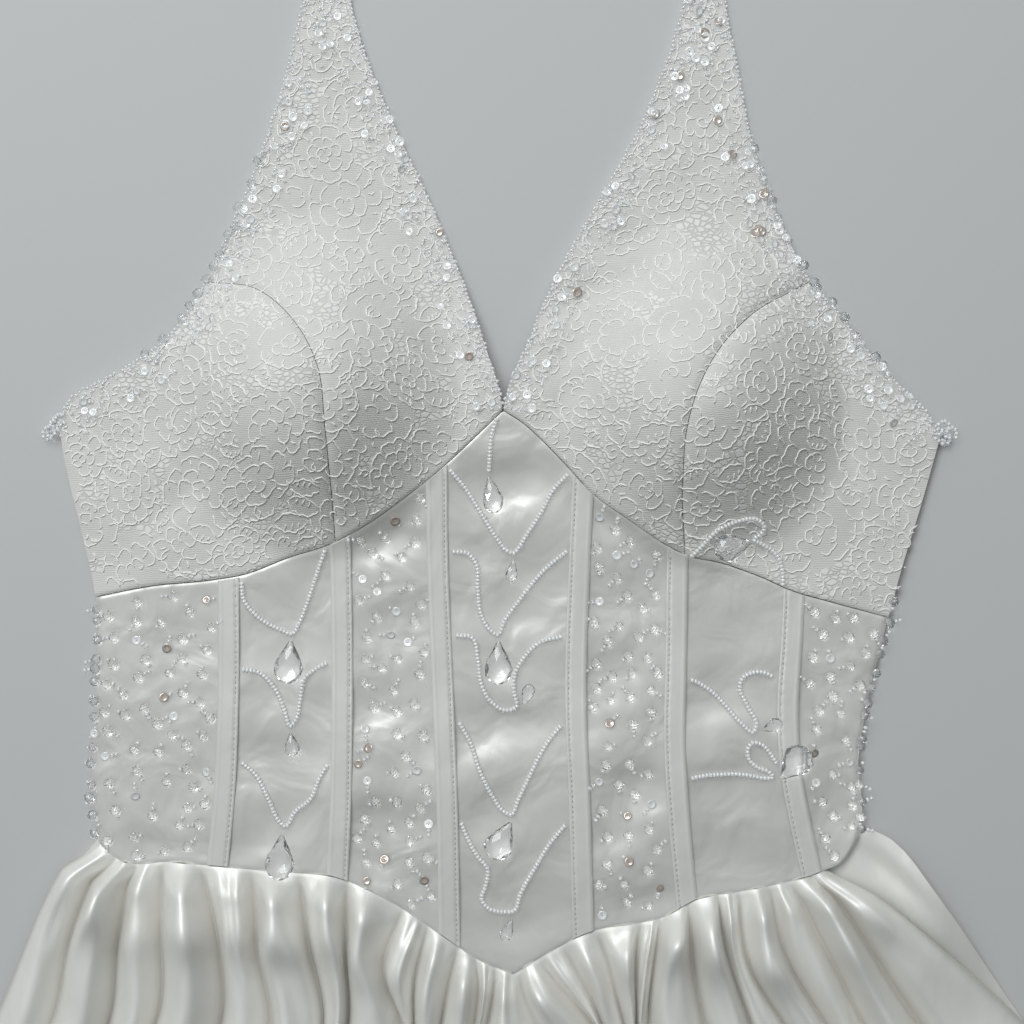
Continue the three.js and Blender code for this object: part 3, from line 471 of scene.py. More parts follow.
panel_satin = satin_material("panel satin", dark=(0.61, 0.60, 0.565), light=(0.78, 0.77, 0.735),
                             roughness=0.35, metallic=0.30, stretch=(1.0, 1.0, 1.0), crumpled=0.8)
skirt_satin = satin_material("skirt satin", dark=(0.76, 0.745, 0.70), light=(0.87, 0.86, 0.815),
                             roughness=0.47, metallic=0.26, stretch=(1.2, 0.45, 1.0), crumpled=0.5)
casing_satin = satin_material("casing satin", dark=(0.68, 0.67, 0.64), light=(0.80, 0.79, 0.76),
                              roughness=0.38, metallic=0.22, stretch=(1.0, 0.5, 1.0), crumpled=0.6)

# %% [markdown]
# ## Waist panels
#
# Each panel is satin on a stiff interlining, cut to the shape between two seams. Where two panels meet, a
# casing hides their edges. A panel's place is found in a few rounds, because its foot and head lie on sloping
# seams.

# %% Waist panels
GAP = 0.04


def panel(left, right):
    def place(u, v):
        x, y = np.zeros_like(u), np.full_like(u, 60.0)
        for _ in range(8):
            x = mix(left(y), right(y), u)
            y = mix(waist(x) + GAP, underbust(x) - GAP, v)
        return np.stack([x, y], -1)
    return place


def beside(name, offset):
    return lambda y: SEAMS[name](y) + offset


PANELS = {
    "panel_side_left": (SIDE_EDGE["left"], beside("left_3", -GAP)),
    "panel_plain_left": (beside("left_3", GAP), beside("left_2", -GAP)),
    "panel_beaded_left": (beside("left_2", GAP), beside("left_1", -GAP)),
    "panel_centre": (beside("left_1", GAP), beside("right_1", -GAP)),
    "panel_beaded_right": (beside("right_1", GAP), beside("right_2", -GAP)),
    "panel_plain_right": (beside("right_2", GAP), beside("right_3", -GAP)),
    "panel_side_right": (beside("right_3", GAP), SIDE_EDGE["right"]),
}

# %% [markdown]
# ## Where the panel beads lie
#
# The side panels and the two beside the centre are beaded. Each unit is a small round crystal with one or two
# seed beads beside it, pointing any way, and a few units have a sequin instead. The thread that holds a unit
# pulls a shallow dimple into the satin, so the places are drawn before the cloth is made. Along both side
# edges the crystals stand out past the cloth.

# %% Places of the panel beads
unit_draw = np.random.default_rng(52)
UNIT_PITCH, SEAM_MARGIN, END_MARGIN = 8.2, 7.5, 3.5
SIDE_MARGIN, SIDE_PITCH = 4, 7.2


def spaced_points(keep, box, pitch, draw, tries=5000):
    found = np.empty((0, 2))
    for p in draw.uniform((box[0], box[2]), (box[1], box[3]), (tries, 2)):
        if keep(p) and (not len(found) or np.min(np.sum((found - p) ** 2, axis=1)) > pitch**2):
            found = np.vstack([found, p])
    return found


def in_panel(left, right, margin_left, margin_right):
    def keep(p):
        x, y = p
        return (left(y) + margin_left < x < right(y) - margin_right
                and waist(x) + END_MARGIN < y < underbust(x) - END_MARGIN)
    return keep


seeds, crystals, discs, tan_discs, dimples = [], [], [], [], []


def add_unit(p, heading, sequin_share=0.2):
    dimples.append(p)
    if unit_draw.random() < sequin_share:
        (tan_discs if unit_draw.random() < 0.3 else discs).append(p)
    else:
        crystals.append((p, heading))
    ahead = np.array([math.cos(heading), math.sin(heading)])
    for k in range(int(unit_draw.integers(1, 3))):
        seeds.append((p + ahead * (3.2 + 1.9 * k), heading, 1.0))


for name in ("panel_side_left", "panel_beaded_left", "panel_beaded_right", "panel_side_right"):
    left, right = PANELS[name]
    margins = [SIDE_MARGIN if name == f"panel_side_{side}" else SEAM_MARGIN for side in ("left", "right")]
    keep = in_panel(left, right, *margins)
    for p in spaced_points(keep, (left(60) - 12, right(60) + 12, -55, 200), UNIT_PITCH, unit_draw):
        add_unit(p, unit_draw.uniform(0, 2 * math.pi))
for side, sign in (("left", -1), ("right", 1)):
    for y in np.arange(14, 118, SIDE_PITCH):
        y = y + unit_draw.normal(0, 1.2)
        x = float(SIDE_EDGE[side](y)) + sign * unit_draw.uniform(-1.5, 1.2)
        add_unit(np.array([x, y]), unit_draw.normal(0 if sign > 0 else math.pi, 1.0), 0.05)
print("crystals:", len(crystals), "seed beads:", len(seeds), "sequins:", len(discs) + len(tan_discs))

# %% [markdown]
# ## The satin of the panels
#
# A panel sinks between its seams by its own slack, less where the dress lies low, so the cloth below never
# shows through. The sunk form stays below the CAD surface, and no drop is ever buried. Cloth simulation could
# find such waves too, but these follow the photograph's calm panels and come out the same each time.

# %% Satin on the panels
PANEL_SLACK, DIMPLE_DEPTH, DIMPLE_SPREAD = 1.7, 0.32, 7.5


def panel_slack(x, y, u, v):
    held = np.clip(4 * u * (1 - u), 0, 1) ** 0.6 * np.clip(14 * v * (1 - v), 0, 1)
    total = PANEL_SLACK * (1 + 1.4 * panel_waves(x, y)) * held * np.tanh((under(x, y) - BACK) / 5)
    for p in dimples:
        far = (x - p[0]) ** 2 + (y - p[1]) ** 2
        near = far < 60
        if near.any():
            total[near] += DIMPLE_DEPTH * np.exp(-far[near] / DIMPLE_SPREAD)
    edge = np.minimum(y - waist(x), underbust(x) - y)
    side_edge = np.minimum(np.abs(x - SIDE_EDGE["left"](y)), np.abs(x - SIDE_EDGE["right"](y)))
    return total + 0.3 * np.exp(-((edge / 0.8) ** 2)) + 0.7 * np.exp(-((side_edge / 0.9) ** 2))

# %% [markdown]
# Each CAD sheet is hidden once its cloth is made.
# The grids are finer beside the edges, where the satin rolls in towards its seams.

# %% Making the panels
def even(count):
    return np.linspace(0, 1, count + 1)


def fine_ended(count, ends):
    """Even steps, with a few close ones at both ends."""
    middle = np.linspace(ends[-1], 1 - ends[-1], count - 2 * len(ends) + 1)
    return np.concatenate([[0], ends[:-1], middle, 1 - np.array(ends[:-1])[::-1], [1]])


def declare_cloth(node):
    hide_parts(node)


panel_rows = fine_ended(100, [0.003, 0.006, 0.011, 0.02])
for name, (left, right) in PANELS.items():
    across = even(44 if name == "panel_centre" else 32)
    if name == "panel_side_left":
        across = np.concatenate([[0, 0.01, 0.025], np.linspace(0.05, 1, 30)])
    if name == "panel_side_right":
        across = np.concatenate([np.linspace(0, 0.95, 30), [0.975, 0.99, 1]])
    if name == "panel_centre":
        across[20:22] = [0.451, 0.484]
    upper, lower = cloth_grid(panel(left, right), across, panel_rows, under, SATIN, panel_slack)
    points, faces, sharp = wall(upper, lower)
    piece = make_object(name + "_satin", points, faces, panel_satin, sharp=sharp)
    declare_cloth(name)

# %% [markdown]
# ## Boning casings
#
# A casing is a folded satin strip, topstitched close to one edge, with a flat bone inside. The strip's folded
# edge shows as a soft ridge, and the stitching pulls a groove that puckers a little. Only its upper side
# follows the groove, because the bone keeps the lower side flat.

# %% Boning casings
CASING_WIDTH, CASING_WALL, CASING_END = 9.6, 1.0, 0.5
STITCH_AT = {"left": 0.84, "right": 0.16}


def casing(seam):
    def place(u, v):
        x, y = np.zeros_like(u), np.full_like(u, 60.0)
        for _ in range(8):
            x = seam(y) + (u - 0.5) * CASING_WIDTH
            y = mix(waist(x) + CASING_END, underbust(x) - CASING_END, v)
        return np.stack([x, y], -1)
    return place


def casing_under(x, y):
    return under(x, y) + SATIN + SEAM


def casing_slack(side):
    groove_at = STITCH_AT[side]
    ridge_at = 1 - groove_at

    def slack(x, y, u, v):
        groove = 0.4 * np.exp(-(((u - groove_at) * CASING_WIDTH / 0.6) ** 2))
        pull = 0.07 * np.sin(v * 190) * np.exp(-(((u - groove_at) * CASING_WIDTH / 1.6) ** 2))
        ridge = 0.16 * np.exp(-(((u - ridge_at) * CASING_WIDTH / 0.45) ** 2))
        edge = 0.5 * (np.abs(2 * u - 1) ** 14)
        return 0.3 + groove + pull - ridge + edge + 0.14 * panel_waves(x * 2, y)
    return slack


for name, seam in SEAMS.items():
    upper, lower = cloth_grid(casing(seam), even(20), even(120), casing_under, CASING_WALL,
                              casing_slack(name.split("_")[0]), both_sides=False)
    points, faces, sharp = wall(upper, lower)
    piece = make_object(f"casing_{name}_satin", points, faces, casing_satin, sharp=sharp)
    declare_cloth(f"casing_{name}")

# %% [markdown]
# ## Patches between four curves
#
# A lace piece has four sides, and none is straight. A patch that blends its four edge curves gives it an even
# grid, which bump, creases and motifs can all follow.

# %% Patches between four curves
def coons(bottom, top, left, right):
    """A patch that blends its four edges. u runs from left to right and v from bottom to top."""
    def place(u, v):
        ruled = mix(bottom(u), top(u), v[..., None]) + mix(left(v), right(v), u[..., None])
        low = mix(bottom(np.zeros(1))[0], bottom(np.ones(1))[0], u[..., None])
        high = mix(top(np.zeros(1))[0], top(np.ones(1))[0], u[..., None])
        return ruled - mix(low, high, v[..., None])
    return place


def straight(a, b):
    return lambda t: mix(np.asarray(a), np.asarray(b), np.asarray(t)[..., None])


def seam_foot(start_x, end_x, start, end):
    """A line along the underbust seam whose two ends are pinned."""
    def place(t):
        x = mix(start_x, end_x, np.asarray(t, float))
        line = np.stack([x, underbust(x) + SEAM + FOOT_GAP], -1)
        line = np.where((t <= 0)[..., None], start, line)
        return np.where((t >= 1)[..., None], end, line)
    return place


def pinned(line, start):
    return lambda t: np.where((np.asarray(t) <= 0)[..., None], start, line(t))

# %% [markdown]
# ## Outlines of the lace pieces
#
# The inner piece of each side carries cup, neck edge and strap in one cut. The outer piece covers the rest
# of the cup and the side. They meet at the princess seam, which runs up over the fullest part of the cup.

# %% Outlines of the lace pieces
STRAP_SHARE, LACE_INSET, NAPE_LAP, FOOT_GAP = 0.42, 0.16, 12, 0.1
UNDERARM_X = {"left": -184.5, "right": 173}


def lace_inner(side):
    sign = -1 if side == "left" else 1
    nape = -sign * NAPE_LAP
    strap_out = curve(STRAP_OUTER[side] + [(6 + nape, 506.5)])
    strap_in = curve(STRAP_INNER[side] + [(6 + nape, 487.3)])
    outer = moved(joined(curve(CUP_SEAM[side]), strap_out, STRAP_SHARE), sign * LACE_INSET)
    inner = joined(curve(NECK_EDGE[side]), strap_in, STRAP_SHARE)
    start_x, tip = outer(np.zeros(1))[0][0], inner(np.zeros(1))[0]
    start = np.array([start_x, float(underbust(start_x)) + SEAM + FOOT_GAP])
    foot = seam_foot(start_x, tip[0], start, tip)
    end = straight(outer(np.ones(1))[0], inner(np.ones(1))[0])
    outer = pinned(outer, start)
    if side == "left":
        return coons(foot, end, outer, inner)
    return coons(lambda t: foot(1 - t), lambda t: end(1 - t), inner, outer)


def lace_outer(side):
    sign = -1 if side == "left" else 1
    seam = moved(curve(CUP_SEAM[side]), -sign * LACE_INSET)
    armhole = curve(ARMHOLE[side])
    corner_y = ARMHOLE[side][0][1]
    low_y = float(UNDERBUST[side](UNDERARM_X[side])) + SEAM

    def edge(t):
        y = mix(low_y, corner_y, t)
        return np.stack([SIDE_EDGE[side](y), y], -1)

    seam_start = seam(np.zeros(1))[0]
    seam_start = np.array([seam_start[0], float(underbust(seam_start[0])) + SEAM + FOOT_GAP])
    edge_start = edge(np.zeros(1))[0]
    edge_start = np.array([edge_start[0], float(underbust(edge_start[0])) + SEAM])
    foot = seam_foot(edge_start[0], seam_start[0], edge_start, seam_start)
    seam_line, edge_line = pinned(seam, seam_start), pinned(edge, edge_start)
    shift = seam_line(np.ones(1))[0] - armhole(np.ones(1))[0]
    arm_line = pinned(lambda t: armhole(t) + shift * np.asarray(t)[..., None], edge_line(np.ones(1))[0])
    if side == "left":
        return coons(foot, arm_line, edge_line, seam_line)
    return coons(lambda t: foot(1 - t), lambda t: arm_line(1 - t), seam_line, edge_line)

# %% [markdown]
# The lace surface has its own relief: the cloth above and beside each cup sags into a few creases, both sides
# of the princess seam dip towards the stitches, and the lower edge rolls in at the underbust seam. The
# creases are listed one by one, one row of the table each.

# %% Relief of the lace
CUP_CREASES = [  # place, direction in degrees, length, width and depth
    dict(x=-88, y=262, turn=-14, length=46, width=7, depth=2.4),
    dict(x=-68, y=240, turn=-21, length=34, width=6, depth=1.6),
    dict(x=-58, y=272, turn=-27, length=26, width=6, depth=1.3),
    dict(x=58, y=264, turn=24, length=36, width=7, depth=2.2),
    dict(x=46, y=240, turn=35, length=36, width=7, depth=1.7),
    dict(x=38, y=216, turn=42, length=28, width=6, depth=1.1),
    dict(x=-137, y=196, turn=82, length=30, width=5, depth=1.1),
    dict(x=156, y=180, turn=100, length=32, width=5, depth=1.2),
    dict(x=-150, y=160, turn=40, length=24, width=8, depth=0.9),
]
seam_points = {side: curve(CUP_SEAM[side])(even(60)) for side in CUP_SEAM}


def crease(x, y, table):
    total = 0
    for c in table:
        a = math.radians(c["turn"])
        along = ((x - c["x"]) * math.cos(a) + (y - c["y"]) * math.sin(a)) / c["length"]
        across = (-(x - c["x"]) * math.sin(a) + (y - c["y"]) * math.cos(a)) / c["width"]
        total = total + c["depth"] * np.exp(-(along**2) - across**2)
    return total


def near_line(x, y, line):
    flat = np.stack([np.ravel(x), np.ravel(y)], -1)
    best = np.full(len(flat), 1e9)
    for a, b in zip(line[:-1], line[1:]):
        d = b - a
        t = np.clip(((flat - a) @ d) / (d @ d), 0, 1)
        best = np.minimum(best, np.hypot(*(flat - a - t[:, None] * d).T))
    return best.reshape(np.shape(x))


def lace_slack(x, y, u, v):
    seam = 0
    for line in seam_points.values():
        far = near_line(x, y, line)
        seam = seam + 1.1 * np.exp(-((far / 1.6) ** 2))
        seam = seam + 1.1 * np.exp(-((far / 6.0) ** 2)) * ease(150, 215, y)
    soft = 0.45 * (1 + 0.8 * lace_waves(x, y))
    foot = 0.8 * np.exp(-(((y - underbust(x)) / 1.0) ** 2)) * (y < 215)
    return crease(x, y, CUP_CREASES) * (y < 320) + seam + soft + foot


def lace_height(side):
    if side == "right":
        return under
    climb = LACE + LAYER_GAP
    return lambda x, y: under(x, y) + np.where(y > 470, climb * ease(-30, -9, x), 0)

# %% [markdown]
# ## Where the lace motifs lie
#
# Corded lace is a net with flowers woven into it, each petal outlined by a thick cord. A flower is drawn as
# rings of rounded petals round a centre, in a disc that is squeezed and turned, so that no two look alike.

# %% Flower outlines
def rounded(points, step=1.3):
    """A smooth line through points, with a step of about that length and a slight waver."""
    points = np.asarray(points, float)
    length = np.sum(np.hypot(*np.diff(points, axis=0).T))
    line = curve(points)(even(max(4, int(length / step))))
    ahead = np.gradient(line, axis=0)
    side = np.stack([-ahead[:, 1], ahead[:, 0]], -1) / np.maximum(np.hypot(*ahead.T), 1e-6)[:, None]
    return line + side * motif_draw.normal(0, 0.2, len(line))[:, None]


def polar(bloom, radius, angle):
    """A place in a flower, which is a squeezed and turned disc."""
    centre, _, squeeze, turn = bloom
    x, y = radius * np.cos(angle), radius * np.sin(angle) * squeeze
    c, s = math.cos(turn), math.sin(turn)
    return centre + np.stack([x * c - y * s, x * s + y * c], -1)


def in_bloom(points, bloom):
    centre, reach, squeeze, turn = bloom
    x, y = (points - centre).T
    c, s = math.cos(turn), math.sin(turn)
    return np.hypot(x * c + y * s, (-x * s + y * c) / squeeze) < reach


def flower(bloom):
    """Rings of petals, each one a rounded outline that hooks inwards at its end."""
    reach = bloom[1]
    lines, start = [], motif_draw.uniform(0, 2 * math.pi)
    rings = [(0.06, 0.26, 3), (0.32, 0.60, int(motif_draw.integers(5, 8))),
             (0.64, 1.0, int(motif_draw.integers(8, 12)))]
    for inner, outer, count in rings:
        start += motif_draw.uniform(0.2, 0.9)
        width = 2 * math.pi / count
        for k in range(count):
            a = start + width * (k + motif_draw.normal(0, 0.1))
            low, high = reach * inner, reach * outer * (1 + motif_draw.normal(0, 0.07))
            dip = motif_draw.uniform(0.0, 0.07)
            spec = [(low, 0.0), (mix(low, high, 0.6), -0.05), (high * 0.97, 0.17),
                    (high * (1.02 - dip), 0.42), (high * 0.99, 0.55), (high * 1.01, 0.75),
                    (mix(low, high, 0.68), 0.92), (mix(low, high, 0.35), 0.84)]
            if motif_draw.random() < 0.35:
                spec = spec[:-1]
            if motif_draw.random() < 0.25:
                spec = spec[1:]
            if motif_draw.random() < 0.9:
                lines.append(rounded([polar(bloom, r, a + t * width) for r, t in spec]))
            if inner > 0.5 and motif_draw.random() < 0.4:
                bar = a + 0.45 * width
                lines.append(rounded([polar(bloom, mix(low, high, t), bar) for t in (0.1, 0.35, 0.6)]))
    return lines

# %% [markdown]
# Leaves lie between the flowers. Where one motif lies under another, its outline stops at the other's edge.

# %% Leaf outlines
def leaf(start, heading, length):
    """A scalloped leaf with a rib down the middle and a few short veins."""
    t = np.linspace(0, 1, 15)
    bend = motif_draw.normal(0, 0.6)
    ahead = np.stack([np.cos(heading + bend * t), np.sin(heading + bend * t)], -1)
    middle = np.cumsum(ahead, 0) * length / 15
    middle = start + middle - middle[0]
    side = np.stack([-ahead[:, 1], ahead[:, 0]], -1)
    scallops = 1 + 0.25 * np.abs(np.sin(math.pi * t * 3.5))
    half = length * 0.24 * np.sin(math.pi * np.clip(t, 0.03, 0.99)) ** 0.6 * scallops
    left, right = middle + side * half[:, None], middle - side * half[:, None]
    lines = [rounded(left), rounded(right)]
    for k in range(3, 12, 3):
        lines.append(rounded([mix(middle[k], left[k + 1], share) for share in (0.1, 0.5, 0.8)]))
    return lines


def visible_parts(line, blooms):
    hidden = np.zeros(len(line), bool)
    for bloom in blooms:
        if np.hypot(*(line[len(line) // 2] - bloom[0])) < bloom[1] + 16:
            hidden |= in_bloom(line, bloom)
    jumps = np.diff(np.concatenate([[0], (~hidden).astype(int), [0]]))
    return [line[a:b] for a, b in zip(np.nonzero(jumps == 1)[0], np.nonzero(jumps == -1)[0]) if b - a > 3]

# %% [markdown]
# Flowers stand at seeded places that keep their distance from each other, each with two leaves. A flower that
# comes later lies behind the ones that are there, so the hidden parts of its outlines are left out.

# %% Laying out the flowers
MOTIF_PITCH = 21.0
motif_draw = np.random.default_rng(31)
cords, blooms = [], []
for centre in spaced_points(lambda p: True, (-214, 214, 110, 512), MOTIF_PITCH, motif_draw, tries=9000):
    reach, squeeze = motif_draw.uniform(12.5, 19.0), motif_draw.uniform(0.68, 1.0)
    bloom = (centre, reach, squeeze, motif_draw.uniform(0, math.pi))
    for line in flower(bloom):
        cords += visible_parts(line, blooms)
    blooms.append(bloom)
    for _ in range(2):
        heading = motif_draw.uniform(0, 2 * math.pi)
        ahead = np.array([math.cos(heading), math.sin(heading)])
        length = motif_draw.uniform(10, 16)
        for line in leaf(centre + ahead * (bloom[1] * 0.9), heading, length):
            cords += visible_parts(line, blooms)
        blooms.append((centre + ahead * (bloom[1] * 0.9 + length / 2), length * 0.45, 0.55, heading))
print("motifs:", len(blooms), "cord lines:", len(cords))

# %% [markdown]
# The motif map says which places lie inside a flower or a leaf. It is drawn once on a fine grid and then read
# for each point of the lace, so the shader can weave petals densely and leave net between them.

# %% The motif map
MAP_STEP = 0.5
map_x, map_y = np.arange(-214, 215, MAP_STEP), np.arange(105, 512, MAP_STEP)
motif_map = np.zeros((len(map_x), len(map_y)), np.float32)


def inside(polygon, x, y):
    hit = np.zeros(x.shape, bool)
    for (x0, y0), (x1, y1) in zip(polygon, np.roll(polygon, -1, axis=0)):
        crosses = (y0 > y) != (y1 > y)
        hit ^= crosses & (x < (x1 - x0) * (y - y0) / (y1 - y0 + 1e-12) + x0)
    return hit


for bloom in blooms:
    i0, i1 = np.searchsorted(map_x, [bloom[0][0] - bloom[1], bloom[0][0] + bloom[1]])
    j0, j1 = np.searchsorted(map_y, [bloom[0][1] - bloom[1], bloom[0][1] + bloom[1]])
    if i1 > i0 and j1 > j0:
        spots = np.stack(np.meshgrid(map_x[i0:i1], map_y[j0:j1], indexing="ij"), -1)
        motif_map[i0:i1, j0:j1] = np.maximum(motif_map[i0:i1, j0:j1],
                                             in_bloom(spots.reshape(-1, 2), bloom).reshape(spots.shape[:2]))


def motif_at(x, y):
    i = np.clip(((x - map_x[0]) / MAP_STEP).astype(int), 0, len(map_x) - 1)
    j = np.clip(((y - map_y[0]) / MAP_STEP).astype(int), 0, len(map_y) - 1)
    return motif_map[i, j]

# %% [markdown]
# ## Lace material
#
# Satin shows through the net, whose threads are a little darker than the satin in its holes. A coarse,
# stretched mesh makes the net, and a close, ribbed weave fills the petals.

# %% Lace material
def lace_material():
    material, tree, shader = new_material("lace over satin", (0.72, 0.71, 0.68), 0.72, Sheen_Weight=0.3,
                                          Sheen_Roughness=0.6, Specular_IOR_Level=0.3)
    place = object_place(tree)
    warp = add_node(tree, "ShaderNodeTexNoise", Vector=place, Scale=90.0, Detail=2.0)
    bent = add_node(tree, "ShaderNodeMixRGB", {"blend_type": "ADD"}, i0=0.003, i1=place,
                    i2=warp.outputs["Color"]).outputs[0]
    fill = add_node(tree, "ShaderNodeAttribute", {"attribute_name": "motif"}).outputs["Fac"]
    flat = add_node(tree, "ShaderNodeMapping", Vector=bent, Scale=(0.62, 1.0, 0.4)).outputs[0]
    mesh = add_node(tree, "ShaderNodeTexVoronoi", {"feature": "DISTANCE_TO_EDGE"}, Vector=flat, Scale=470.0)
    rib = add_node(tree, "ShaderNodeTexWave", {"bands_direction": "Y"}, Vector=bent, Scale=380.0,
                   Distortion=4.0, Detail=3.0)
    cell = add_node(tree, "ShaderNodeMapRange", Value=mesh.outputs["Distance"], From_Min=0.03, From_Max=0.16,
                    To_Min=0.0, To_Max=1.0).outputs[0]
    weave = math_node(tree, "MULTIPLY_ADD", rib.outputs["Fac"], 0.3)
    weave.node.inputs[2].default_value = 0.12
    height = add_node(tree, "ShaderNodeMix", {"data_type": "FLOAT"}, i0=fill, i2=cell, i3=weave).outputs[0]
    cloud = add_node(tree, "ShaderNodeTexNoise", Vector=place, Scale=45.0, Detail=5.0)
    thread = color_between(tree, cloud.outputs["Fac"], (0.52, 0.515, 0.48), (0.72, 0.715, 0.68))
    color = add_node(tree, "ShaderNodeMix", {"data_type": "RGBA"}, i0=height, i6=thread)
    color.inputs[7].default_value = (0.80, 0.795, 0.765, 1)
    tree.links.new(color.outputs[2], shader.inputs["Base Color"])
    roughen(tree, shader, height, strength=0.8, distance=0.0003)
    return material


lace = lace_material()


def mark_motif(piece, points):
    attribute = piece.data.attributes.new("motif", "FLOAT", "POINT")
    attribute.data.foreach_set("value", motif_at(points[:, 0], points[:, 1]).astype(np.float32))

# %% [markdown]
# ## The lace pieces
#
# Grid lines are close at the foot, where the lace rolls in at its seam, and on the cups, where it is creased.
# The left strap lies over the right one at the nape, so it climbs by one layer there.

# %% Lace pieces
lace_rows = np.concatenate([[0, 0.0008, 0.002], mix(0.0036, STRAP_SHARE, even(150)),
                            mix(STRAP_SHARE, 1, even(107)[1:])])
outer_rows = np.concatenate([[0, 0.004, 0.009], mix(0.016, 1, even(117))])
LACE_GRIDS = {
    "inner": (lace_inner, even(84), lace_rows),
    "outer": (lace_outer, even(96), outer_rows),
}
for side in ("left", "right"):
    for part, (make, across, along) in LACE_GRIDS.items():
        height = lace_height(side) if part == "inner" else under
        upper, lower = cloth_grid(make(side), across, along, height, LACE, lace_slack)
        points, faces, sharp = wall(upper, lower)
        name = f"front_lace_{part}_{side}"
        piece = make_object(name + "_cloth", points, faces, lace, sharp=sharp)
        mark_motif(piece, points)
        declare_cloth(name)

# %% [markdown]
# ## The skirt
#
# The skirt front is a wide piece of satin, gathered by stitches into the pointed seam. Simulated cloth would
# find folds of its own, but these have to stand where the photograph shows them. So each row of this table
# is one valley between two folds, from side to side: where it starts, how it runs, how high the fold to its
# right stands and where its crest lies.

# %% Fold table
FOLD_LEVEL = -73
FOLDS = [  # x at the waist, halfway to the level, at the level, at the hem; height, height at the hem, crest
    (-182.5, -206, -230, -695, 7, 12, 0.5), (-175, -190, -202, -648, 14, 26, 0.4),
    (-165.5, -170, -178, -578, 9, 10, 0.5), (-154, -155, -158, -534, 15, 28, 0.6),
    (-136, -129, -126, -454, 8, 14, 0.62), (-114, -109.5, -104, -404, 14, 24, 0.4),
    (-92, -87, -83, -338, 12, 9, 0.66), (-70, -72, -70, -300, 12, 25, 0.4),
    (-45, -53.5, -44, -230, 8, 8, 0.4), (-34, -39, -40, -192, 9, 22, 0.5),
    (-20, -25, -29.5, -130, 8, 14, 0.45), (-12, -11.5, -13, -88, 6, 8, 0.5),
    (-3, -4.5, -6, -50, 8, 20, 0.5), (7, 9.5, 14, 8, 9, 10, 0.5),
    (15.5, 27, 39, 50, 5, 20, 0.6), (26, 37, 46, 106, 6, 12, 0.5),
    (42, 49, 53.5, 148, 8, 22, 0.6), (62, 59, 59, 208, 6, 10, 0.5),
    (71, 68, 67.5, 252, 12, 26, 0.5), (83.5, 86, 90, 320, 13, 12, 0.55),
    (97, 100, 110, 366, 7, 24, 0.4), (106.5, 110, 128, 438, 13, 12, 0.62),
    (120, 128, 145, 486, 8, 26, 0.45), (129, 143, 160, 562, 14, 12, 0.6),
    (139, 161, 187, 618, 9, 20, 0.4), (146, 191, 234, 695, 0, 0, 0.5),
]
HEM_SIDE, HEM_DEPTH, HEM_HALF = -985, 93, 695
FOLD_COUNT = len(FOLDS) - 1
EDGE_BEND = {"left": (-150, -267), "right": (-195, 322)}
SHOULDER = {"left": -11, "right": 7.5, "folds": 3}
fold_waist, fold_middle, fold_level, fold_hem = (
    through([(i, fold[k]) for i, fold in enumerate(FOLDS)]) for k in range(4))
fold_heights = np.array([fold[4:] for fold in FOLDS], float)

# %% [markdown]
# Between the table's heights a fold runs on a smooth line. Its hem is an arc. The side folds bend outwards
# over the hip, and the inner folds waver a little on their way down, as loose cloth does.

# %% Where a fold lies
def hem(x):
    return HEM_SIDE - HEM_DEPTH * (1 - (x / HEM_HALF) ** 2)


def hermite(y, knots, values):
    """Cubics through knots that differ from column to column."""
    knots, values = np.stack(knots), np.stack(values)
    gaps, slopes = np.diff(knots, axis=0), np.diff(values, axis=0) / np.diff(knots, axis=0)
    tangents = np.empty_like(values)
    tangents[0], tangents[-1] = slopes[0], slopes[-1]
    tangents[1:-1] = (slopes[:-1] * gaps[1:] + slopes[1:] * gaps[:-1]) / (gaps[:-1] + gaps[1:])
    out = np.zeros_like(y)
    for k in range(len(knots) - 1):
        t = np.clip((y - knots[k]) / gaps[k], 0, 1)
        part = ((2 * t**3 - 3 * t**2 + 1) * values[k] + (t**3 - 2 * t**2 + t) * gaps[k] * tangents[k]
                + (3 * t**2 - 2 * t**3) * values[k + 1] + (t**3 - t**2) * gaps[k] * tangents[k + 1])
        out = np.where((y >= knots[k]) & ((y <= knots[k + 1]) | (k == len(knots) - 2)), part, out)
    return out


def skirt_place(f, v):
    """Place and distance below the seam. f counts valleys from the left, v runs from the seam to the hem."""
    x0, x1 = fold_waist(f), fold_hem(f)
    y0, y1 = waist(x0) - GAP, hem(x1)
    y = mix(y0, y1, v)
    is_left = f < FOLD_COUNT / 2
    bend_y = np.where(is_left, EDGE_BEND["left"][0], EDGE_BEND["right"][0])
    bend_x = np.where(is_left, EDGE_BEND["left"][1], EDGE_BEND["right"][1])
    straight_x = mix(fold_level(f), x1, (bend_y - FOLD_LEVEL) / (y1 - FOLD_LEVEL))
    share = np.abs(f / (FOLD_COUNT / 2) - 1) ** 3
    x = hermite(y, [y1, bend_y + 0 * y, FOLD_LEVEL + 0 * y, (FOLD_LEVEL + y0) / 2, y0],
                [x1, mix(straight_x, bend_x, share), fold_level(f), fold_middle(f), x0])
    drop = y0 - y
    near = np.where(is_left, f, FOLD_COUNT - f)
    amount = np.where(is_left, SHOULDER["left"], SHOULDER["right"])
    shoulder = ease(0, 12, drop) * (1 - ease(14, 90, drop))
    x = x + amount * np.maximum(0, 1 - near / SHOULDER["folds"]) * shoulder
    inner = np.clip(np.minimum(f, FOLD_COUNT - f) / 2, 0, 1)
    x = x + 1.8 * np.sin(drop / 27 + 1.9 * f) * inner * ease(6, 45, drop)
    return x, y, drop

# %% [markdown]
# A fold has a round crest and a sharper valley. At the seam it is pinched, then it opens and grows, and on
# the way to the hem some folds fade and others swell. Small gathers ride on the big folds close to the seam.

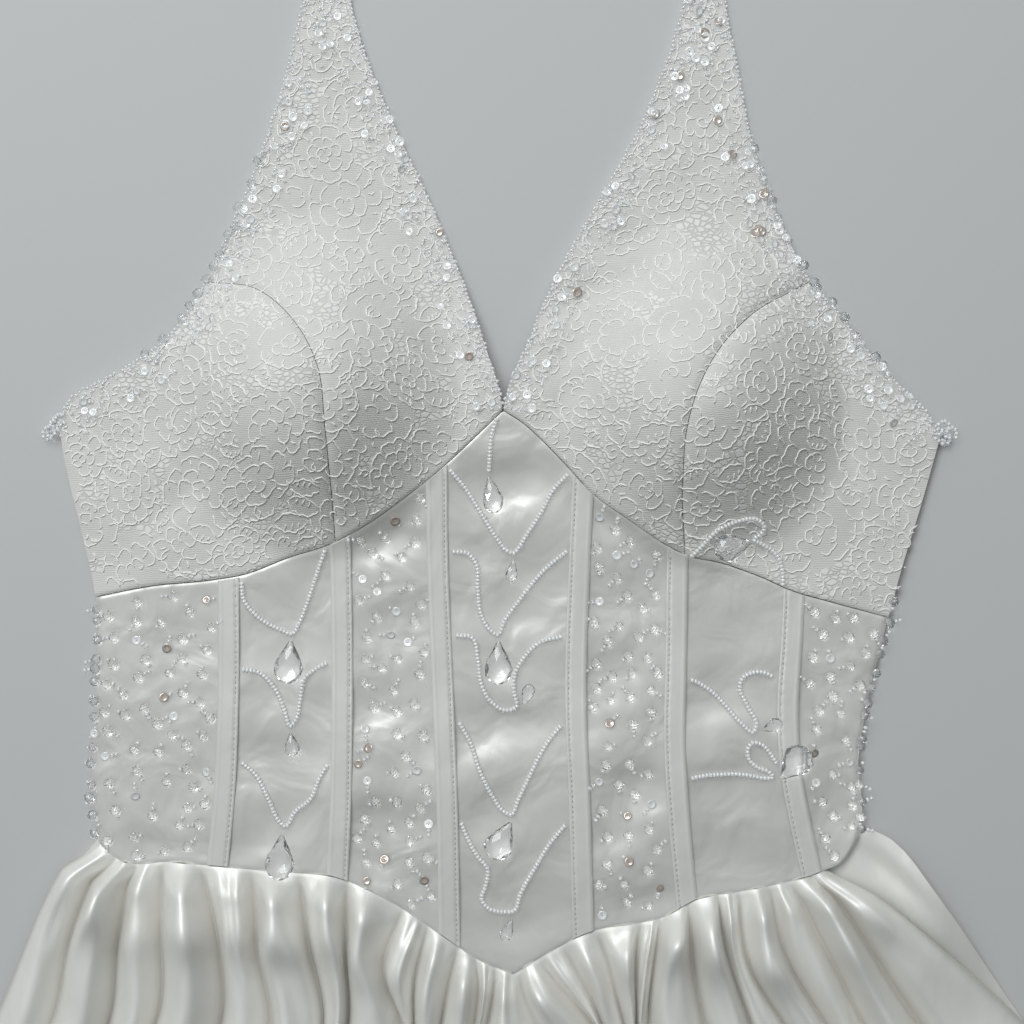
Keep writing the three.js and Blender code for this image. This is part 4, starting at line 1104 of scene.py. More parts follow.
# %% Fold heights
SKIRT_LOFT, PUFF_CLEAR = 2.5, 2.4
gather_draw = np.random.default_rng(7)
gather_phase = gather_draw.uniform(0, 2 * math.pi, 64)
gather_rate = gather_draw.uniform(1.0, 2.6, 64)
ripple_phase = gather_draw.uniform(0, 2 * math.pi, 64)
ripple_drift = gather_draw.uniform(-0.05, 0.05, 64)
flank = gather_draw.uniform(0.55, 1.0, (2, 64))
puff_place, puff_size = gather_draw.uniform(9, 34, 64), gather_draw.uniform(0.0, 0.6, 64)
pinch = gather_draw.uniform(0.5, 2.4, 64)
fold_drift = waves(12, 6, 45, 150, slant=1.1)


def valley(f, v):
    """One along the line where two folds meet, and nothing 2 mm away from it."""
    _, _, drop = skirt_place(f, v)
    width = mix(9, 50, ease(0, 1000, drop))
    far = np.abs(f - np.round(f)) * width
    return np.exp(-((far / 0.65) ** 2)) * ease(0, 8, drop)


def skirt_under(f, v):
    """The height of the skirt's underside. Crest, gathers and ripples fade in and out with the drop."""
    x, y, drop = skirt_place(f, v)
    i = np.clip(np.floor(f).astype(int), 0, FOLD_COUNT - 1)
    within = f - i
    crest = fold_heights[i, 2] + 0.08 * np.sin(drop / 37 + ripple_phase[i])
    across = np.where(within < crest, 0.5 * within / crest, 0.5 + 0.5 * (within - crest) / (1 - crest))
    bulge = puff_size[i] * np.exp(-(((drop - puff_place[i]) / 11) ** 2))
    grown = mix(0.14, 1, ease(-1, 13, drop)) * (1 + bulge)
    size = mix(fold_heights[i, 0], fold_heights[i, 1], ease(60, 900, drop)) * grown
    base = mix(under(x, y) - puff(x, y), BACK + LAYER_GAP + SKIRT_LOFT, ease(0, 160, drop))
    edge = np.clip(np.minimum(f, FOLD_COUNT - f) / 0.5, 0, 1)
    lift = puff(x, y)
    narrow = np.where(within < crest, flank[0][i], flank[1][i]) * (1 + pinch[i] * (1 - ease(7, 38, drop)))
    body = np.sin(math.pi * np.clip(across, 0, 1)) ** narrow
    held = np.clip(4 * within * (1 - within), 0, 1)
    small = np.sin(within * gather_rate[i] * 2 * math.pi + gather_phase[i] + drop / 30)
    small = 1.3 * small * held * ease(-1, 7, drop) * (1 - ease(16, 58, drop))
    ripple = np.sin(within * 2 * math.pi * 1.2 + ripple_phase[i] + drop * ripple_drift[i])
    ripple = 0.14 * size * ripple * held * ease(10, 50, drop)
    soft = 1.6 * fold_drift(x, y) * ease(14, 90, drop) * edge * (0.3 + 0.7 * held)
    rolled = 0.3 * np.exp(-((drop / 0.7) ** 2))
    cloth = size * body + (small + ripple) * edge + soft - rolled - 0.6 * valley(f, v) * edge
    return mix(BACK + LAYER_GAP, base, edge) + lift + PUFF_CLEAR * (1 - np.exp(-lift)) + cloth

# %% [markdown]
# The grid has fourteen columns for each fold, closer beside the valleys, and rows that are close near the
# waist, where the cloth turns fastest. The wall's thickness is laid off sideways too, along the slope of each
# fold, so it stays even on the steep flanks.

# %% Skirt front
# How strongly the painted shade darkens the satin colour along each skirt valley.
PAINTED_VALLEY_SHADE_STRENGTH = 0.4
rows = np.concatenate([[0, 0.0004, 0.001], np.linspace(0.0018, 0.09, 50), np.linspace(0.09, 0.3, 36)[1:],
                       np.linspace(0.3, 1, 26)[1:]])
share = np.concatenate([[0, 0.035, 0.08], np.linspace(0.15, 0.85, 9), [0.92, 0.965]])
columns = np.append((np.arange(FOLD_COUNT)[:, None] + share).ravel(), FOLD_COUNT)
f, v = np.meshgrid(columns, rows, indexing="ij")
x, y, drop = skirt_place(f, v)
upper = np.stack([x, y, skirt_under(f, v) + SKIRT], -1)
side_step = np.gradient(upper, axis=0)
flat_step = np.maximum(np.hypot(side_step[..., 0], side_step[..., 1]), 1e-6)
normal = np.stack([-side_step[..., 2] * side_step[..., 0] / flat_step,
                   -side_step[..., 2] * side_step[..., 1] / flat_step, flat_step], -1)
normal /= np.linalg.norm(normal, axis=-1, keepdims=True)
lower = upper - normal * SKIRT
front_cloth.append(upper[:, ::-1])
print("skirt grid:", upper.shape)
points, faces, sharp = wall(upper[:, ::-1], lower[:, ::-1], coarse=2)
# Painted shade along the valleys, stored on the skirt for its satin material.
in_valley = valley(f, v)[:, ::-1]
valley_painted_shade_values = np.concatenate([in_valley.ravel(), in_valley[::2, ::2].ravel()]).astype(np.float32)
skirt_front = make_object("skirt_front_satin", points, faces, skirt_satin, sharp=sharp)
painted_shade = skirt_front.data.attributes.new("valley", "FLOAT", "POINT")
painted_shade.data.foreach_set("value", PAINTED_VALLEY_SHADE_STRENGTH * valley_painted_shade_values)
declare_cloth("skirt_front")

# %% [markdown]
# ## The back
#
# The back lies flat on the table and is hidden, but it is finished all the same: two skirt pieces with a zip
# between them, and two bodice pieces. Beside the right waist the skirt back bulges out in a smooth puff, with
# a few creases that run into the seam.

# %% Outlines of the back
BACK_EDGE = {
    "left": through([(-990, -684), (-770, -576), (-540, -462), (-300, -342), (-150, -262), (-62, -222),
                     (-35, -210), (-17, -202), (-3, -194), (9, -184)]),
    "right": through([(-990, 684), (-660, 548), (-370, 409), (-195, 316), (-120, 268), (-70, 233.8),
                      (-50, 220), (-31, 206.8), (-16, 196), (-7, 189.6), (0.5, 184.3), (6.6, 178.8),
                      (11.2, 172.4), (14.2, 164), (16.2, 152)]),
}
back_neck = through([(-200, 193), (-170, 170), (-120, 138), (-60, 112), (0, 101), (60, 112), (120, 138),
                     (170, 166), (198, 189)])
back_waist = through([(-190, 9), (-100, 2), (0, 0), (100, 6), (159, 14), (175, 14)])
ZIP_HALF, ZIP_FOOT, ZIP_TOP = 2.4, -150, 100

# %% [markdown]
# Each back piece runs from the middle to one side edge. Beside the zip it stops short to leave room for the
# tape, and below the zip the two skirt pieces meet.

# %% Patches of the back
def zip_clear(y):
    return np.where(y > ZIP_FOOT - 5, ZIP_HALF + SEAM, SEAM / 2)


def back_piece(side, low, high, middle, edge):
    """A piece from the zip to one side edge, between a low and a high line."""
    sign = -1 if side == "left" else 1

    def place(u, v):
        t = 1 - u if side == "left" else u
        x, y = np.full_like(u, sign * 90.0), np.zeros_like(u)
        for _ in range(10):
            y = mix(low(x), high(x), v)
            x = mix(sign * middle(y), edge(y), t)
        return np.stack([x, y], -1)
    return place


def skirt_back(side):
    return back_piece(side, lambda x: hem(x) + 5, lambda x: back_waist(x) - SEAM, zip_clear, BACK_EDGE[side])


def bodice_back(side):
    inset = -0.6 if side == "left" else 0.6
    return back_piece(side, lambda x: back_waist(x) + SEAM, lambda x: back_neck(x) - 1,
                      lambda y: ZIP_HALF + SEAM, lambda y: SIDE_EDGE[side](y) - inset)

# %% [markdown]
# The puff pulls three creases at its root, one row of the table each. Rows of the grid crowd where they are.

# %% Making the back
BACK_CREASES = [
    dict(x=165, y=1, turn=-58, length=13, width=2.4, depth=2.6),
    dict(x=176, y=-6, turn=-50, length=16, width=3.2, depth=2.0),
    dict(x=187, y=-16, turn=-46, length=20, width=4.5, depth=1.8),
]


def back_under(x, y):
    z = puff(x, y)
    z = np.maximum(0, z - 0.4) * (PUFF["height"] / (PUFF["height"] - 0.4))
    return np.maximum(0, z - crease(x, y, BACK_CREASES) * ease(0, 4, z))


back_rows = np.concatenate([np.linspace(0, 0.853, 40), [0.8576], np.linspace(0.862, 0.97, 30),
                            np.linspace(0.972, 1, 40)])
for side in ("left", "right"):
    for name, make, across, along, height in (
        (f"skirt_back_{side}", skirt_back(side), even(60), back_rows, back_under),
        (f"back_bodice_{side}", bodice_back(side), even(30), even(30), lambda x, y: 0 * x),
    ):
        upper, lower = cloth_grid(make, across, along, height, BACK)
        points, faces, sharp = wall(upper, lower, coarse=2)
        piece = make_object(name + "_satin", points, faces, skirt_satin, sharp=sharp)
        declare_cloth(name)

# %% [markdown]
# ## Small solid shapes
#
# Teeth and stitches are little boxes. Beads, the nape button and the glass drops are turned on a lathe: a
# profile of radius and height that goes round an axis, with a twist from ring to ring for staggered facets.

# %% Small solid shapes, many at once
def boxes(centres, sizes, turns):
    corners = np.array([(i, j, k) for i in (-0.5, 0.5) for j in (-0.5, 0.5) for k in (-0.5, 0.5)])
    quads = np.array([(0, 1, 3, 2), (4, 6, 7, 5), (0, 4, 5, 1), (2, 3, 7, 6), (0, 2, 6, 4), (1, 5, 7, 3)])
    local = corners[None] * np.asarray(sizes, float)[:, None]
    c, s = np.cos(turns)[:, None], np.sin(turns)[:, None]
    x, y = local[..., 0] * c - local[..., 1] * s, local[..., 0] * s + local[..., 1] * c
    points = np.stack([x, y, local[..., 2]], -1) + np.asarray(centres)[:, None]
    offsets = (np.arange(len(points)) * 8)[:, None, None]
    return points.reshape(-1, 3), (quads[None] + offsets).reshape(-1, 4)


def lathe(profile, sides, twist=0.0, caps=True):
    points, faces = [], []
    for k, (r, z) in enumerate(profile):
        a = (np.arange(sides) + twist * k) * 2 * math.pi / sides
        points.append(np.stack([r * np.cos(a), r * np.sin(a), np.full(sides, z)], -1))
    ids = np.arange(len(profile) * sides).reshape(-1, sides)
    nxt = np.roll(ids, -1, axis=1)
    a, b, c, d = (part.ravel() for part in (ids[:-1], nxt[:-1], ids[1:], nxt[1:]))
    if twist:
        faces = [np.concatenate([np.stack([a, b, c], -1), np.stack([b, d, c], -1)])]
    else:
        faces = [np.stack([a, b, d, c], -1)]
    if caps:
        faces.append(np.stack([ids[0, ::-1], ids[-1]]))
    return np.concatenate(points), faces

# %% [markdown]
# ## The zip
#
# A fine nylon zip closes the back. Its teeth are small bars that alternate from side to side on a woven
# tape. The slider sits at the top and its tab lies towards the neck.

# %% Zip
TOOTH, TOOTH_PITCH, TAPE_HEIGHT = [2.2, 0.9, 1.2], 1.5, 0.9
tape, tree, shader = new_material("zip tape", (0.78, 0.77, 0.74), 0.7)
ribs = add_node(tree, "ShaderNodeTexWave", {"bands_direction": "Y"}, Vector=object_place(tree), Scale=500.0)
roughen(tree, shader, ribs.outputs["Fac"], strength=0.5, distance=0.0003)
teeth_y = np.arange(ZIP_FOOT + 3, ZIP_TOP - 0.5, TOOTH_PITCH)
n = len(teeth_y)
centres = np.c_[np.where(np.arange(n) % 2, 0.5, -0.5), teeth_y, np.full(n, 0.62)]
tooth_points, tooth_faces = boxes(centres, np.tile(TOOTH, (n, 1)), np.zeros(n))
tape_centres = [(x, (ZIP_FOOT + ZIP_TOP) / 2, TAPE_HEIGHT) for x in (-1.45, 1.45)]
tape_points, tape_faces = boxes(tape_centres, [(1.9, ZIP_TOP - ZIP_FOOT, 0.8)] * 2, np.zeros(2))
zip_chain = make_object("zip_tape_and_teeth", np.concatenate([tape_points, tooth_points]),
                        [tape_faces, tooth_faces + len(tape_points)], tape, smooth=False)
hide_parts("zip_chain")

# %% [markdown]
# The slider and its pull tab stay as the CAD model has them. They only get their metal.

# %% Zip slider and pull
zip_metal, tree, shader = new_material("zip metal", (0.72, 0.72, 0.70), 0.28, Metallic=1.0)
scuffs = add_node(tree, "ShaderNodeTexNoise", Vector=object_place(tree), Scale=900.0, Detail=4.0)
roughen(tree, shader, scuffs.outputs["Fac"], strength=0.15, distance=0.0001)
for node in ("zip_slider", "zip_pull"):
    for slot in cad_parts[node].material_slots:
        slot.material = zip_metal

# %% [markdown]
# ## The nape button
#
# The strap ends lap at the nape under a button that is covered in the same satin, pulled tight over a dome.

# %% Nape button
BUTTON_AT = (6, 497, 5.05)
BUTTON_PROFILE = [(0.05, 0), (4.6, 0), (5.6, 0.7), (6.0, 1.5), (5.85, 2.3), (5.2, 3.1), (4.1, 3.7),
                  (2.4, 4.1), (0.05, 4.2)]
points, faces = lathe(BUTTON_PROFILE, 32)
button = make_object("nape_button_satin", points + BUTTON_AT, faces, panel_satin)
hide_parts("nape_button")

# %% [markdown]
# ## Beads
#
# Seed beads are clear glass, and the strands have slightly bigger ones. Round crystals are cut with flat
# facets. Sequins are thin cupped discs, and bugles are short tubes. Each kind is one small template that is
# copied to many places, turned to stand on the cloth. Instances would take less room, but real meshes can be
# measured and exported with the part.

# %% Bead templates, as radius and height
BARREL = lathe([(0.75, -0.78), (1.16, -0.5), (1.16, 0.5), (0.75, 0.78)], 9)
SEED = lathe([(0.62, -0.72), (1.0, -0.38), (1.0, 0.38), (0.62, 0.72)], 7)
CUT_ROUND = lathe([(0.9, -2.1), (2.0, -1.15), (2.5, 0.0), (2.0, 1.15), (0.9, 2.1)], 9, twist=0.5)
SEQUIN = lathe([(0.45, 0.0), (1.4, 0.12), (2.4, 0.6), (2.4, 0.7), (1.4, 0.24), (0.45, 0.12)], 14, caps=False)
BUGLE = lathe([(0.62, -1.9), (0.62, 1.9)], 6)


def frames_from(axis, hint=(0, 0, 1.0)):
    """Turns whose third column is the wanted axis."""
    axis = axis / np.linalg.norm(axis, axis=-1, keepdims=True)
    hint = np.broadcast_to(np.asarray(hint, float), axis.shape)
    first = np.cross(hint, axis)
    length = np.linalg.norm(first, axis=-1, keepdims=True)
    first = np.where(length < 1e-4, [1.0, 0, 0], first / np.maximum(length, 1e-9))
    return np.stack([first, np.cross(axis, first), axis], -1)


def scatter(template, places, turns, scales):
    """Copies of a template, each with its own place, turn and size."""
    points, faces = template
    copies = np.einsum("nij,vj->nvi", turns, points) * np.asarray(scales)[:, None, None] + places[:, None]
    offsets = (np.arange(len(places)) * len(points))[:, None, None]
    return copies.reshape(-1, 3), [(group[None] + offsets).reshape(-1, group.shape[1]) for group in faces]

# %% [markdown]
# Glass needs little: a body that bends light, a smooth coat, and painted shade that darkens its colour
# towards the rim, where real glass looks dark edge-on. The strands' beads have a white lining, and a few
# sequins are tan.
# Most light that would be stopped is let through as far as shadows go, because so small a bead casts next to
# none on real cloth.

# %% Bead materials
# Painted shade: the share of the glass colour that is kept at its rim, where it is seen edge-on.
PAINTED_RIM_SHADE, SHADOW_PASS = 0.6, 0.85


def glass_material(name, color, roughness, cloud_scale, **sockets):
    material, tree, shader = new_material(name, color, roughness, **sockets)
    cloud = add_node(tree, "ShaderNodeTexNoise", Vector=object_place(tree), Scale=cloud_scale, Detail=1.0)
    # Painted shade at the rim: the colour darkens where the glass is seen edge-on.
    rim = add_node(tree, "ShaderNodeLayerWeight", Blend=0.42).outputs["Facing"]
    share = math_node(tree, "ADD", rim, math_node(tree, "MULTIPLY", cloud.outputs["Fac"], 0.1))
    painted_rim_color = tuple(PAINTED_RIM_SHADE * c for c in color)
    tree.links.new(color_between(tree, share, color, painted_rim_color), shader.inputs["Base Color"])
    clear = add_node(tree, "ShaderNodeBsdfTransparent")
    shadow_ray = add_node(tree, "ShaderNodeLightPath").outputs["Is Shadow Ray"]
    shadow = math_node(tree, "MULTIPLY", shadow_ray, SHADOW_PASS)
    both = add_node(tree, "ShaderNodeMixShader", i0=shadow, i1=shader.outputs[0], i2=clear.outputs[0])
    tree.links.new(both.outputs[0], tree.nodes["Material Output"].inputs["Surface"])
    return material


seed_glass = glass_material("clear seed glass", (0.95, 0.955, 0.96), 0.06, 300.0, Transmission_Weight=0.4,
                            IOR=1.5, Coat_Weight=0.6, Coat_Roughness=0.02)
lined_glass = glass_material("white lined glass", (0.93, 0.935, 0.93), 0.12, 300.0, Transmission_Weight=0.25,
                             IOR=1.5, Coat_Weight=0.8, Coat_Roughness=0.02)
crystal_glass = glass_material("cut glass", (0.98, 0.985, 0.99), 0.0, 200.0, Transmission_Weight=0.95,
                               IOR=1.55)
sequin_film = glass_material("clear sequin", (0.95, 0.95, 0.94), 0.1, 150.0, Transmission_Weight=0.2, IOR=1.5,
                             Coat_Weight=1.0, Coat_Roughness=0.03)
tan_film = glass_material("tan sequin", (0.58, 0.50, 0.44), 0.2, 150.0, Metallic=0.3, Coat_Weight=1.0)

# %% [markdown]
# ## Where beads stand
#
# A bead stands on the cloth below it, at the height of the lace or of the panel at that place. A ray straight
# down finds it. Beside the edge, where no cloth is hit, the nearest cloth gives the height.

# %% Cloth under a bead
RAY_START = 200


def joined_grids(grids):
    points, quads, used = [], [], 0
    for grid in grids:
        n, m = grid.shape[:2]
        ids = used + np.arange(n * m).reshape(n, m)
        quads.append(np.stack([ids[:-1, :-1], ids[1:, :-1], ids[1:, 1:], ids[:-1, 1:]], -1).reshape(-1, 4))
        points.append(grid.reshape(-1, 3))
        used += n * m
    return np.concatenate(points), np.concatenate(quads)


cloth_points, cloth_quads = joined_grids(front_cloth)
cloth_tree = BVHTree.FromPolygons(cloth_points.tolist(), cloth_quads.tolist())
DOWN = Vector((0, 0, -1))


def seat(xy):
    """Places and normals of the cloth below each point."""
    places, normals = np.empty((len(xy), 3)), np.empty((len(xy), 3))
    for k, (x, y) in enumerate(np.asarray(xy, float)):
        place, normal = cloth_tree.ray_cast(Vector((x, y, RAY_START)), DOWN)[:2]
        if place is None:
            near = cloth_tree.find_nearest(Vector((x, y, 4)))[0]
            place, normal = (x, y, near[2]), (0, 0, 1)
        places[k], normals[k] = place, normal
    normals *= np.where(normals[:, 2:] < 0, -1, 1)
    return places, normals


def on_cloth(xy, lift):
    """Places that stand off the cloth by lift."""
    places, normals = seat(xy)
    return places + normals * np.asarray(lift)[:, None]

# %% [markdown]
# ## Along an edge
#
# Edge beads are counted off along the edge in millimetres, so a line is kept with its running length.

# %% Places along an edge
def edge_line(points, count=800):
    """A smooth line through points, with its running length."""
    dense = curve(points)(np.linspace(0, 1, count))
    along = np.concatenate([[0], np.cumsum(np.hypot(*np.diff(dense, axis=0).T))])
    return dense, along


def at_distance(line, s):
    """Places at running lengths s, and the directions to the line's right."""
    dense, along = line
    x, y = np.interp(s, along, dense[:, 0]), np.interp(s, along, dense[:, 1])
    dx = np.interp(s + 0.5, along, dense[:, 0]) - np.interp(s - 0.5, along, dense[:, 0])
    dy = np.interp(s + 0.5, along, dense[:, 1]) - np.interp(s - 0.5, along, dense[:, 1])
    length = np.maximum(np.hypot(dx, dy), 1e-6)
    return np.stack([x, y], -1), np.stack([dy / length, -dx / length], -1)

# %% [markdown]
# ## Edge bands
#
# The armhole, neck and strap edges carry a dense band of seed beads, bugles and sequins. One close row sits
# right on the edge. Behind it the beads lie as they fall, and they thin out inwards. A row of crystals stands
# out past the upper armhole and the lower strap.

# %% Edge bands
TURN = 6.28
ARMHOLE_BAND, NECK_BAND, RIM_PITCH, EDGE_CRYSTAL_PITCH = 15.0, 14.0, 2.0, 6.4
BEADS_PER_MM, EDGE_BEAD_SIZE = 1.45, 0.9
SEED_SHARE, BUGLE_SHARE, CLEAR_SHARE = 0.70, 0.885, 0.99
edge_draw = np.random.default_rng(77)
bugles = []


def sew_band(line, inward, width):
    total = line[1][-1]
    rim_s = np.arange(1.0, total, RIM_PITCH)
    xy, inner = at_distance(line, rim_s)
    for p, t in zip(xy, inner * inward):
        seeds.append((p + t * edge_draw.normal(0.2, 0.3), edge_draw.uniform(0, TURN), EDGE_BEAD_SIZE))
    count = int(total * BEADS_PER_MM)
    s = edge_draw.uniform(0, total, count)
    depth = width * edge_draw.uniform(0.06, 1.0, count) ** 1.15
    xy, inner = at_distance(line, s)
    kinds = edge_draw.random(count)
    for p, t, d, kind in zip(xy, inner * inward, depth, kinds):
        place, heading = p + t * d, edge_draw.uniform(0, TURN)
        if kind < SEED_SHARE:
            seeds.append((place, heading, EDGE_BEAD_SIZE))
        elif kind < BUGLE_SHARE:
            bugles.append((place, heading))
        elif kind < CLEAR_SHARE:
            discs.append(place)
        else:
            tan_discs.append(place)


for side in ("left", "right"):
    sign = 1 if side == "left" else -1
    sew_band(edge_line(ARMHOLE[side] + STRAP_OUTER[side][1:]), sign, ARMHOLE_BAND)
    sew_band(edge_line(NECK_EDGE[side] + STRAP_INNER[side][1:]), -sign, NECK_BAND)
    rim = edge_line(ARMHOLE[side][-4:] + STRAP_OUTER[side][1:3])
    places = np.arange(2.0, rim[1][-1], EDGE_CRYSTAL_PITCH)
    xy, inner = at_distance(rim, places + edge_draw.normal(0, 1.6, len(places)))
    for p, t in zip(xy, inner * sign):
        if edge_draw.random() < 0.8:
            crystals.append((p - t * edge_draw.uniform(-1.6, 1.2), edge_draw.uniform(0, TURN)))
print("on panels and edges: seed beads", len(seeds), "bugles", len(bugles), "clear sequins", len(discs),
      "tan sequins", len(tan_discs), "crystals", len(crystals))

# %% [markdown]
# At each underarm corner the beads hang in little loops that stand out past the edge.

# %% Underarm loops
LOOPS, LOOP_BEADS = 7, 8
CORNERS = [((-200, 196), (math.pi * 0.55, math.pi * 1.18)), ((197, 192), (-0.5, math.pi * 0.42))]
loop_beads = []
for corner, spread in CORNERS:
    for heading in np.linspace(*spread, LOOPS):
        out = np.array([math.cos(heading), math.sin(heading)])
        centre = np.array(corner) + out * edge_draw.uniform(1.0, 3.4) + edge_draw.normal(0, 1.6, 2)
        for k in range(LOOP_BEADS):
            a = heading + 2 * math.pi * k / LOOP_BEADS
            radius = edge_draw.uniform(2.3, 2.8)
            place = centre + radius * np.array([math.cos(a), math.sin(a)])
            loop_beads.append((place, a + math.pi / 2))

# %% [markdown]
# All beads of one kind become one piece, or two for the seed beads, because there are so many. Beads lie on
# their sides, as thread pulls them, so their holes point along the cloth. Sequins lie flat, a little askew.

# %% Making the beads
def lying(headings):
    """Turns for beads that lie flat, with the hole in a given direction."""
    headings = np.asarray(headings, float)
    return frames_from(np.stack([np.cos(headings), np.sin(headings), np.zeros(len(headings))], -1))


bead_xy = np.array([p for p, _, _ in seeds])
bead_heading = np.array([h for _, h, _ in seeds])
bead_scale = np.array([s for _, _, s in seeds]) * edge_draw.uniform(0.85, 1.12, len(seeds))
seed_places = on_cloth(bead_xy, 0.85 * bead_scale)
order = np.argsort(bead_xy[:, 0])
half = len(seeds) // 2
for part, chosen in (("left", order[:half]), ("right", order[half:])):
    points, faces = scatter(SEED, seed_places[chosen], lying(bead_heading[chosen]), bead_scale[chosen])
    make_object(f"seed_beads_{part}", points, faces, seed_glass)

loop_xy = np.array([p for p, _ in loop_beads])
loop_places = np.c_[loop_xy, edge_draw.uniform(1.2, 4.6, len(loop_beads))]
points, faces = scatter(SEED, loop_places, lying([h for _, h in loop_beads]), np.full(len(loop_beads), 1.05))
make_object("underarm_bead_loops", points, faces, seed_glass)

bugle_xy = np.array([p for p, _ in bugles])
points, faces = scatter(BUGLE, on_cloth(bugle_xy, np.full(len(bugles), 0.7)),
                        lying([h for _, h in bugles]), edge_draw.uniform(0.8, 1.1, len(bugles)))
make_object("bugle_beads", points, faces, seed_glass, smooth=False)

crystal_xy = np.array([p for p, _ in crystals])
size = edge_draw.uniform(0.85, 1.08, len(crystals))
points, faces = scatter(CUT_ROUND, on_cloth(crystal_xy, 2.2 * size), lying([h for _, h in crystals]), size)
make_object("round_crystals", points, faces, crystal_glass, smooth=False)

for name, chosen, material in (("clear_sequins", discs, sequin_film), ("tan_sequins", tan_discs, tan_film)):
    xy = np.array(chosen)
    axis = seat(xy)[1] + edge_draw.normal(0, 0.2, (len(xy), 3))
    points, faces = scatter(SEQUIN, on_cloth(xy, np.full(len(xy), 1.4)), frames_from(axis, (0.3, 1, 0)),
                            edge_draw.uniform(0.8, 1.0, len(xy)))
    make_object(name, points, faces, material)

# %% [markdown]
# ## Strands and drops
#
# On the centre and plain panels, strings of seed beads swing from casing to casing and carry cut-glass
# drops. Each strand is its thread's route, the same as in the CAD model.

# %% Strand routes
STRANDS = {
    "strand_centre_1": [(-2.7, 199.6), (-5, 192.2), (-5.9, 183.2), (-6.3, 175.8)],
    "strand_centre_2": [(-24, 176.6), (-17.1, 168.3), (-9.5, 156.2), (-2.3, 144.9), (1.4, 140.3),
                        (5, 138.9), (7.2, 141.3), (9.9, 145.8), (16.7, 156.2), (23.4, 168.3), (29.3, 174.4)],
    "strand_centre_3": [(-22.8, 139.5), (-15.8, 138.6), (-12.6, 135), (-11.3, 122.4), (-9.9, 111.2),
                        (-5.9, 104.4), (-2.5, 102), (0.9, 108.6), (7.7, 117.9), (18.9, 131.4), (28.6, 139.6)],
    "strand_centre_4": [(-21.2, 101.7), (-14, 100.8), (-11.3, 90.9), (-9.7, 79.7), (-5, 71.6), (1.4, 68),
                        (5.8, 69.4), (4.8, 77.4), (5.4, 84.2), (9.5, 91.8), (16.7, 98.6), (26.6, 101.3)],
    "strand_centre_5": [(-19.8, 62.6), (-14.9, 54), (-10.4, 41.4), (-5, 30.2), (0.8, 22.4), (3.4, 21.2),
                        (6.8, 27.9), (12.2, 39.2), (20.3, 54), (26.6, 61.7)],
    "strand_centre_6": [(-18.9, 18), (-15.8, 10.8), (-11.3, 2.7), (-7, -2.7), (-7.7, -10.4), (-9.5, -17.1),
                        (-6, -21.2), (0, -22.6), (5, -22.2), (7.7, -14.9), (14.4, -2.7), (21.2, 8.6),
                        (28.4, 17.4)],
    "strand_left_1": [(-118, 126), (-117, 117.9), (-110.3, 109.8), (-100.4, 104.2), (-95, 102.4),
                      (-92.3, 106.7), (-87.8, 117.9), (-83.3, 131.4), (-80.1, 140.4)],
    "strand_left_2": [(-117.8, 86.4), (-110.3, 85.1), (-102.6, 77.4), (-98.6, 68.4), (-95.5, 61),
                      (-93.2, 64), (-91.4, 72.9), (-89, 82.8), (-83.3, 87.3), (-78.4, 89.6)],
    "strand_left_3": [(-117.8, 44.6), (-111.6, 39.2), (-105.8, 28.8), (-100.4, 17.6), (-98.4, 15.8),
                      (-93.6, 22.5), (-86.9, 27.9), (-82.4, 37.8), (-78.8, 44)],
    "strand_right_1": [(84.4, 137.2), (88.7, 141.5), (93, 146.5), (97.7, 150.4), (104.4, 153.2),
                       (109.6, 154.4), (114.6, 153.6), (117.2, 150.4), (115.4, 147.2), (112.8, 145.2),
                       (116.2, 143.2), (120.4, 140.8), (124, 137.2), (126, 131.4), (126.3, 123.6)],
    "strand_right_2": [(84.6, 81.9), (88.7, 80.1), (94.1, 76.5), (99.9, 70.7), (106.7, 63), (113, 58.4),
                       (114.2, 62), (111.2, 68.4), (108.9, 72.9), (106.9, 77.6), (108.2, 82.4), (112.6, 84.8),
                       (117.6, 85), (122.4, 82.8)],
    "strand_right_3": [(84.6, 37.4), (91, 38.7), (97.7, 39.2), (104.4, 39.4), (111.2, 38.7), (117.6, 37.6),
                       (121.6, 38), (119.4, 40.6), (115, 42.2), (111.4, 45.2), (110, 49.6), (112, 53.4),
                       (116.4, 52.8), (120.6, 48.4), (123, 44.6)],
}

# %% [markdown]
# A bead stands every 1.64 mm. One that sinks between two others is lifted, because the thread keeps them in
# line. A bead's hole always points along the thread.

# %% Threading the strands
BEAD_PITCH, STRAND_LIFT = 1.64, 1.2
for name, route in STRANDS.items():
    line = edge_line(route, 1200)
    xy = at_distance(line, np.arange(BEAD_PITCH / 2, line[1][-1], BEAD_PITCH))[0]
    z = seat(xy)[0][:, 2] + STRAND_LIFT
    z = np.maximum(z, np.convolve(np.pad(z, 1, mode="edge"), np.ones(3) / 3, mode="valid"))
    places = np.c_[xy, z]
    points, faces = scatter(BARREL, places, frames_from(np.gradient(places, axis=0)), np.ones(len(places)))
    piece = make_object(name + "_beads", points, faces, lined_glass)
    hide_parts(name)

# %% [markdown]
# ## Cut-glass drops
#
# A drop is a long pear with flat facets in staggered rings, as its cutter ground them. Each replaces its CAD
# solid in the same place and turns with it on its thread. A smooth pear would look like a blob of gel: the
# flat facets make the sparkle.

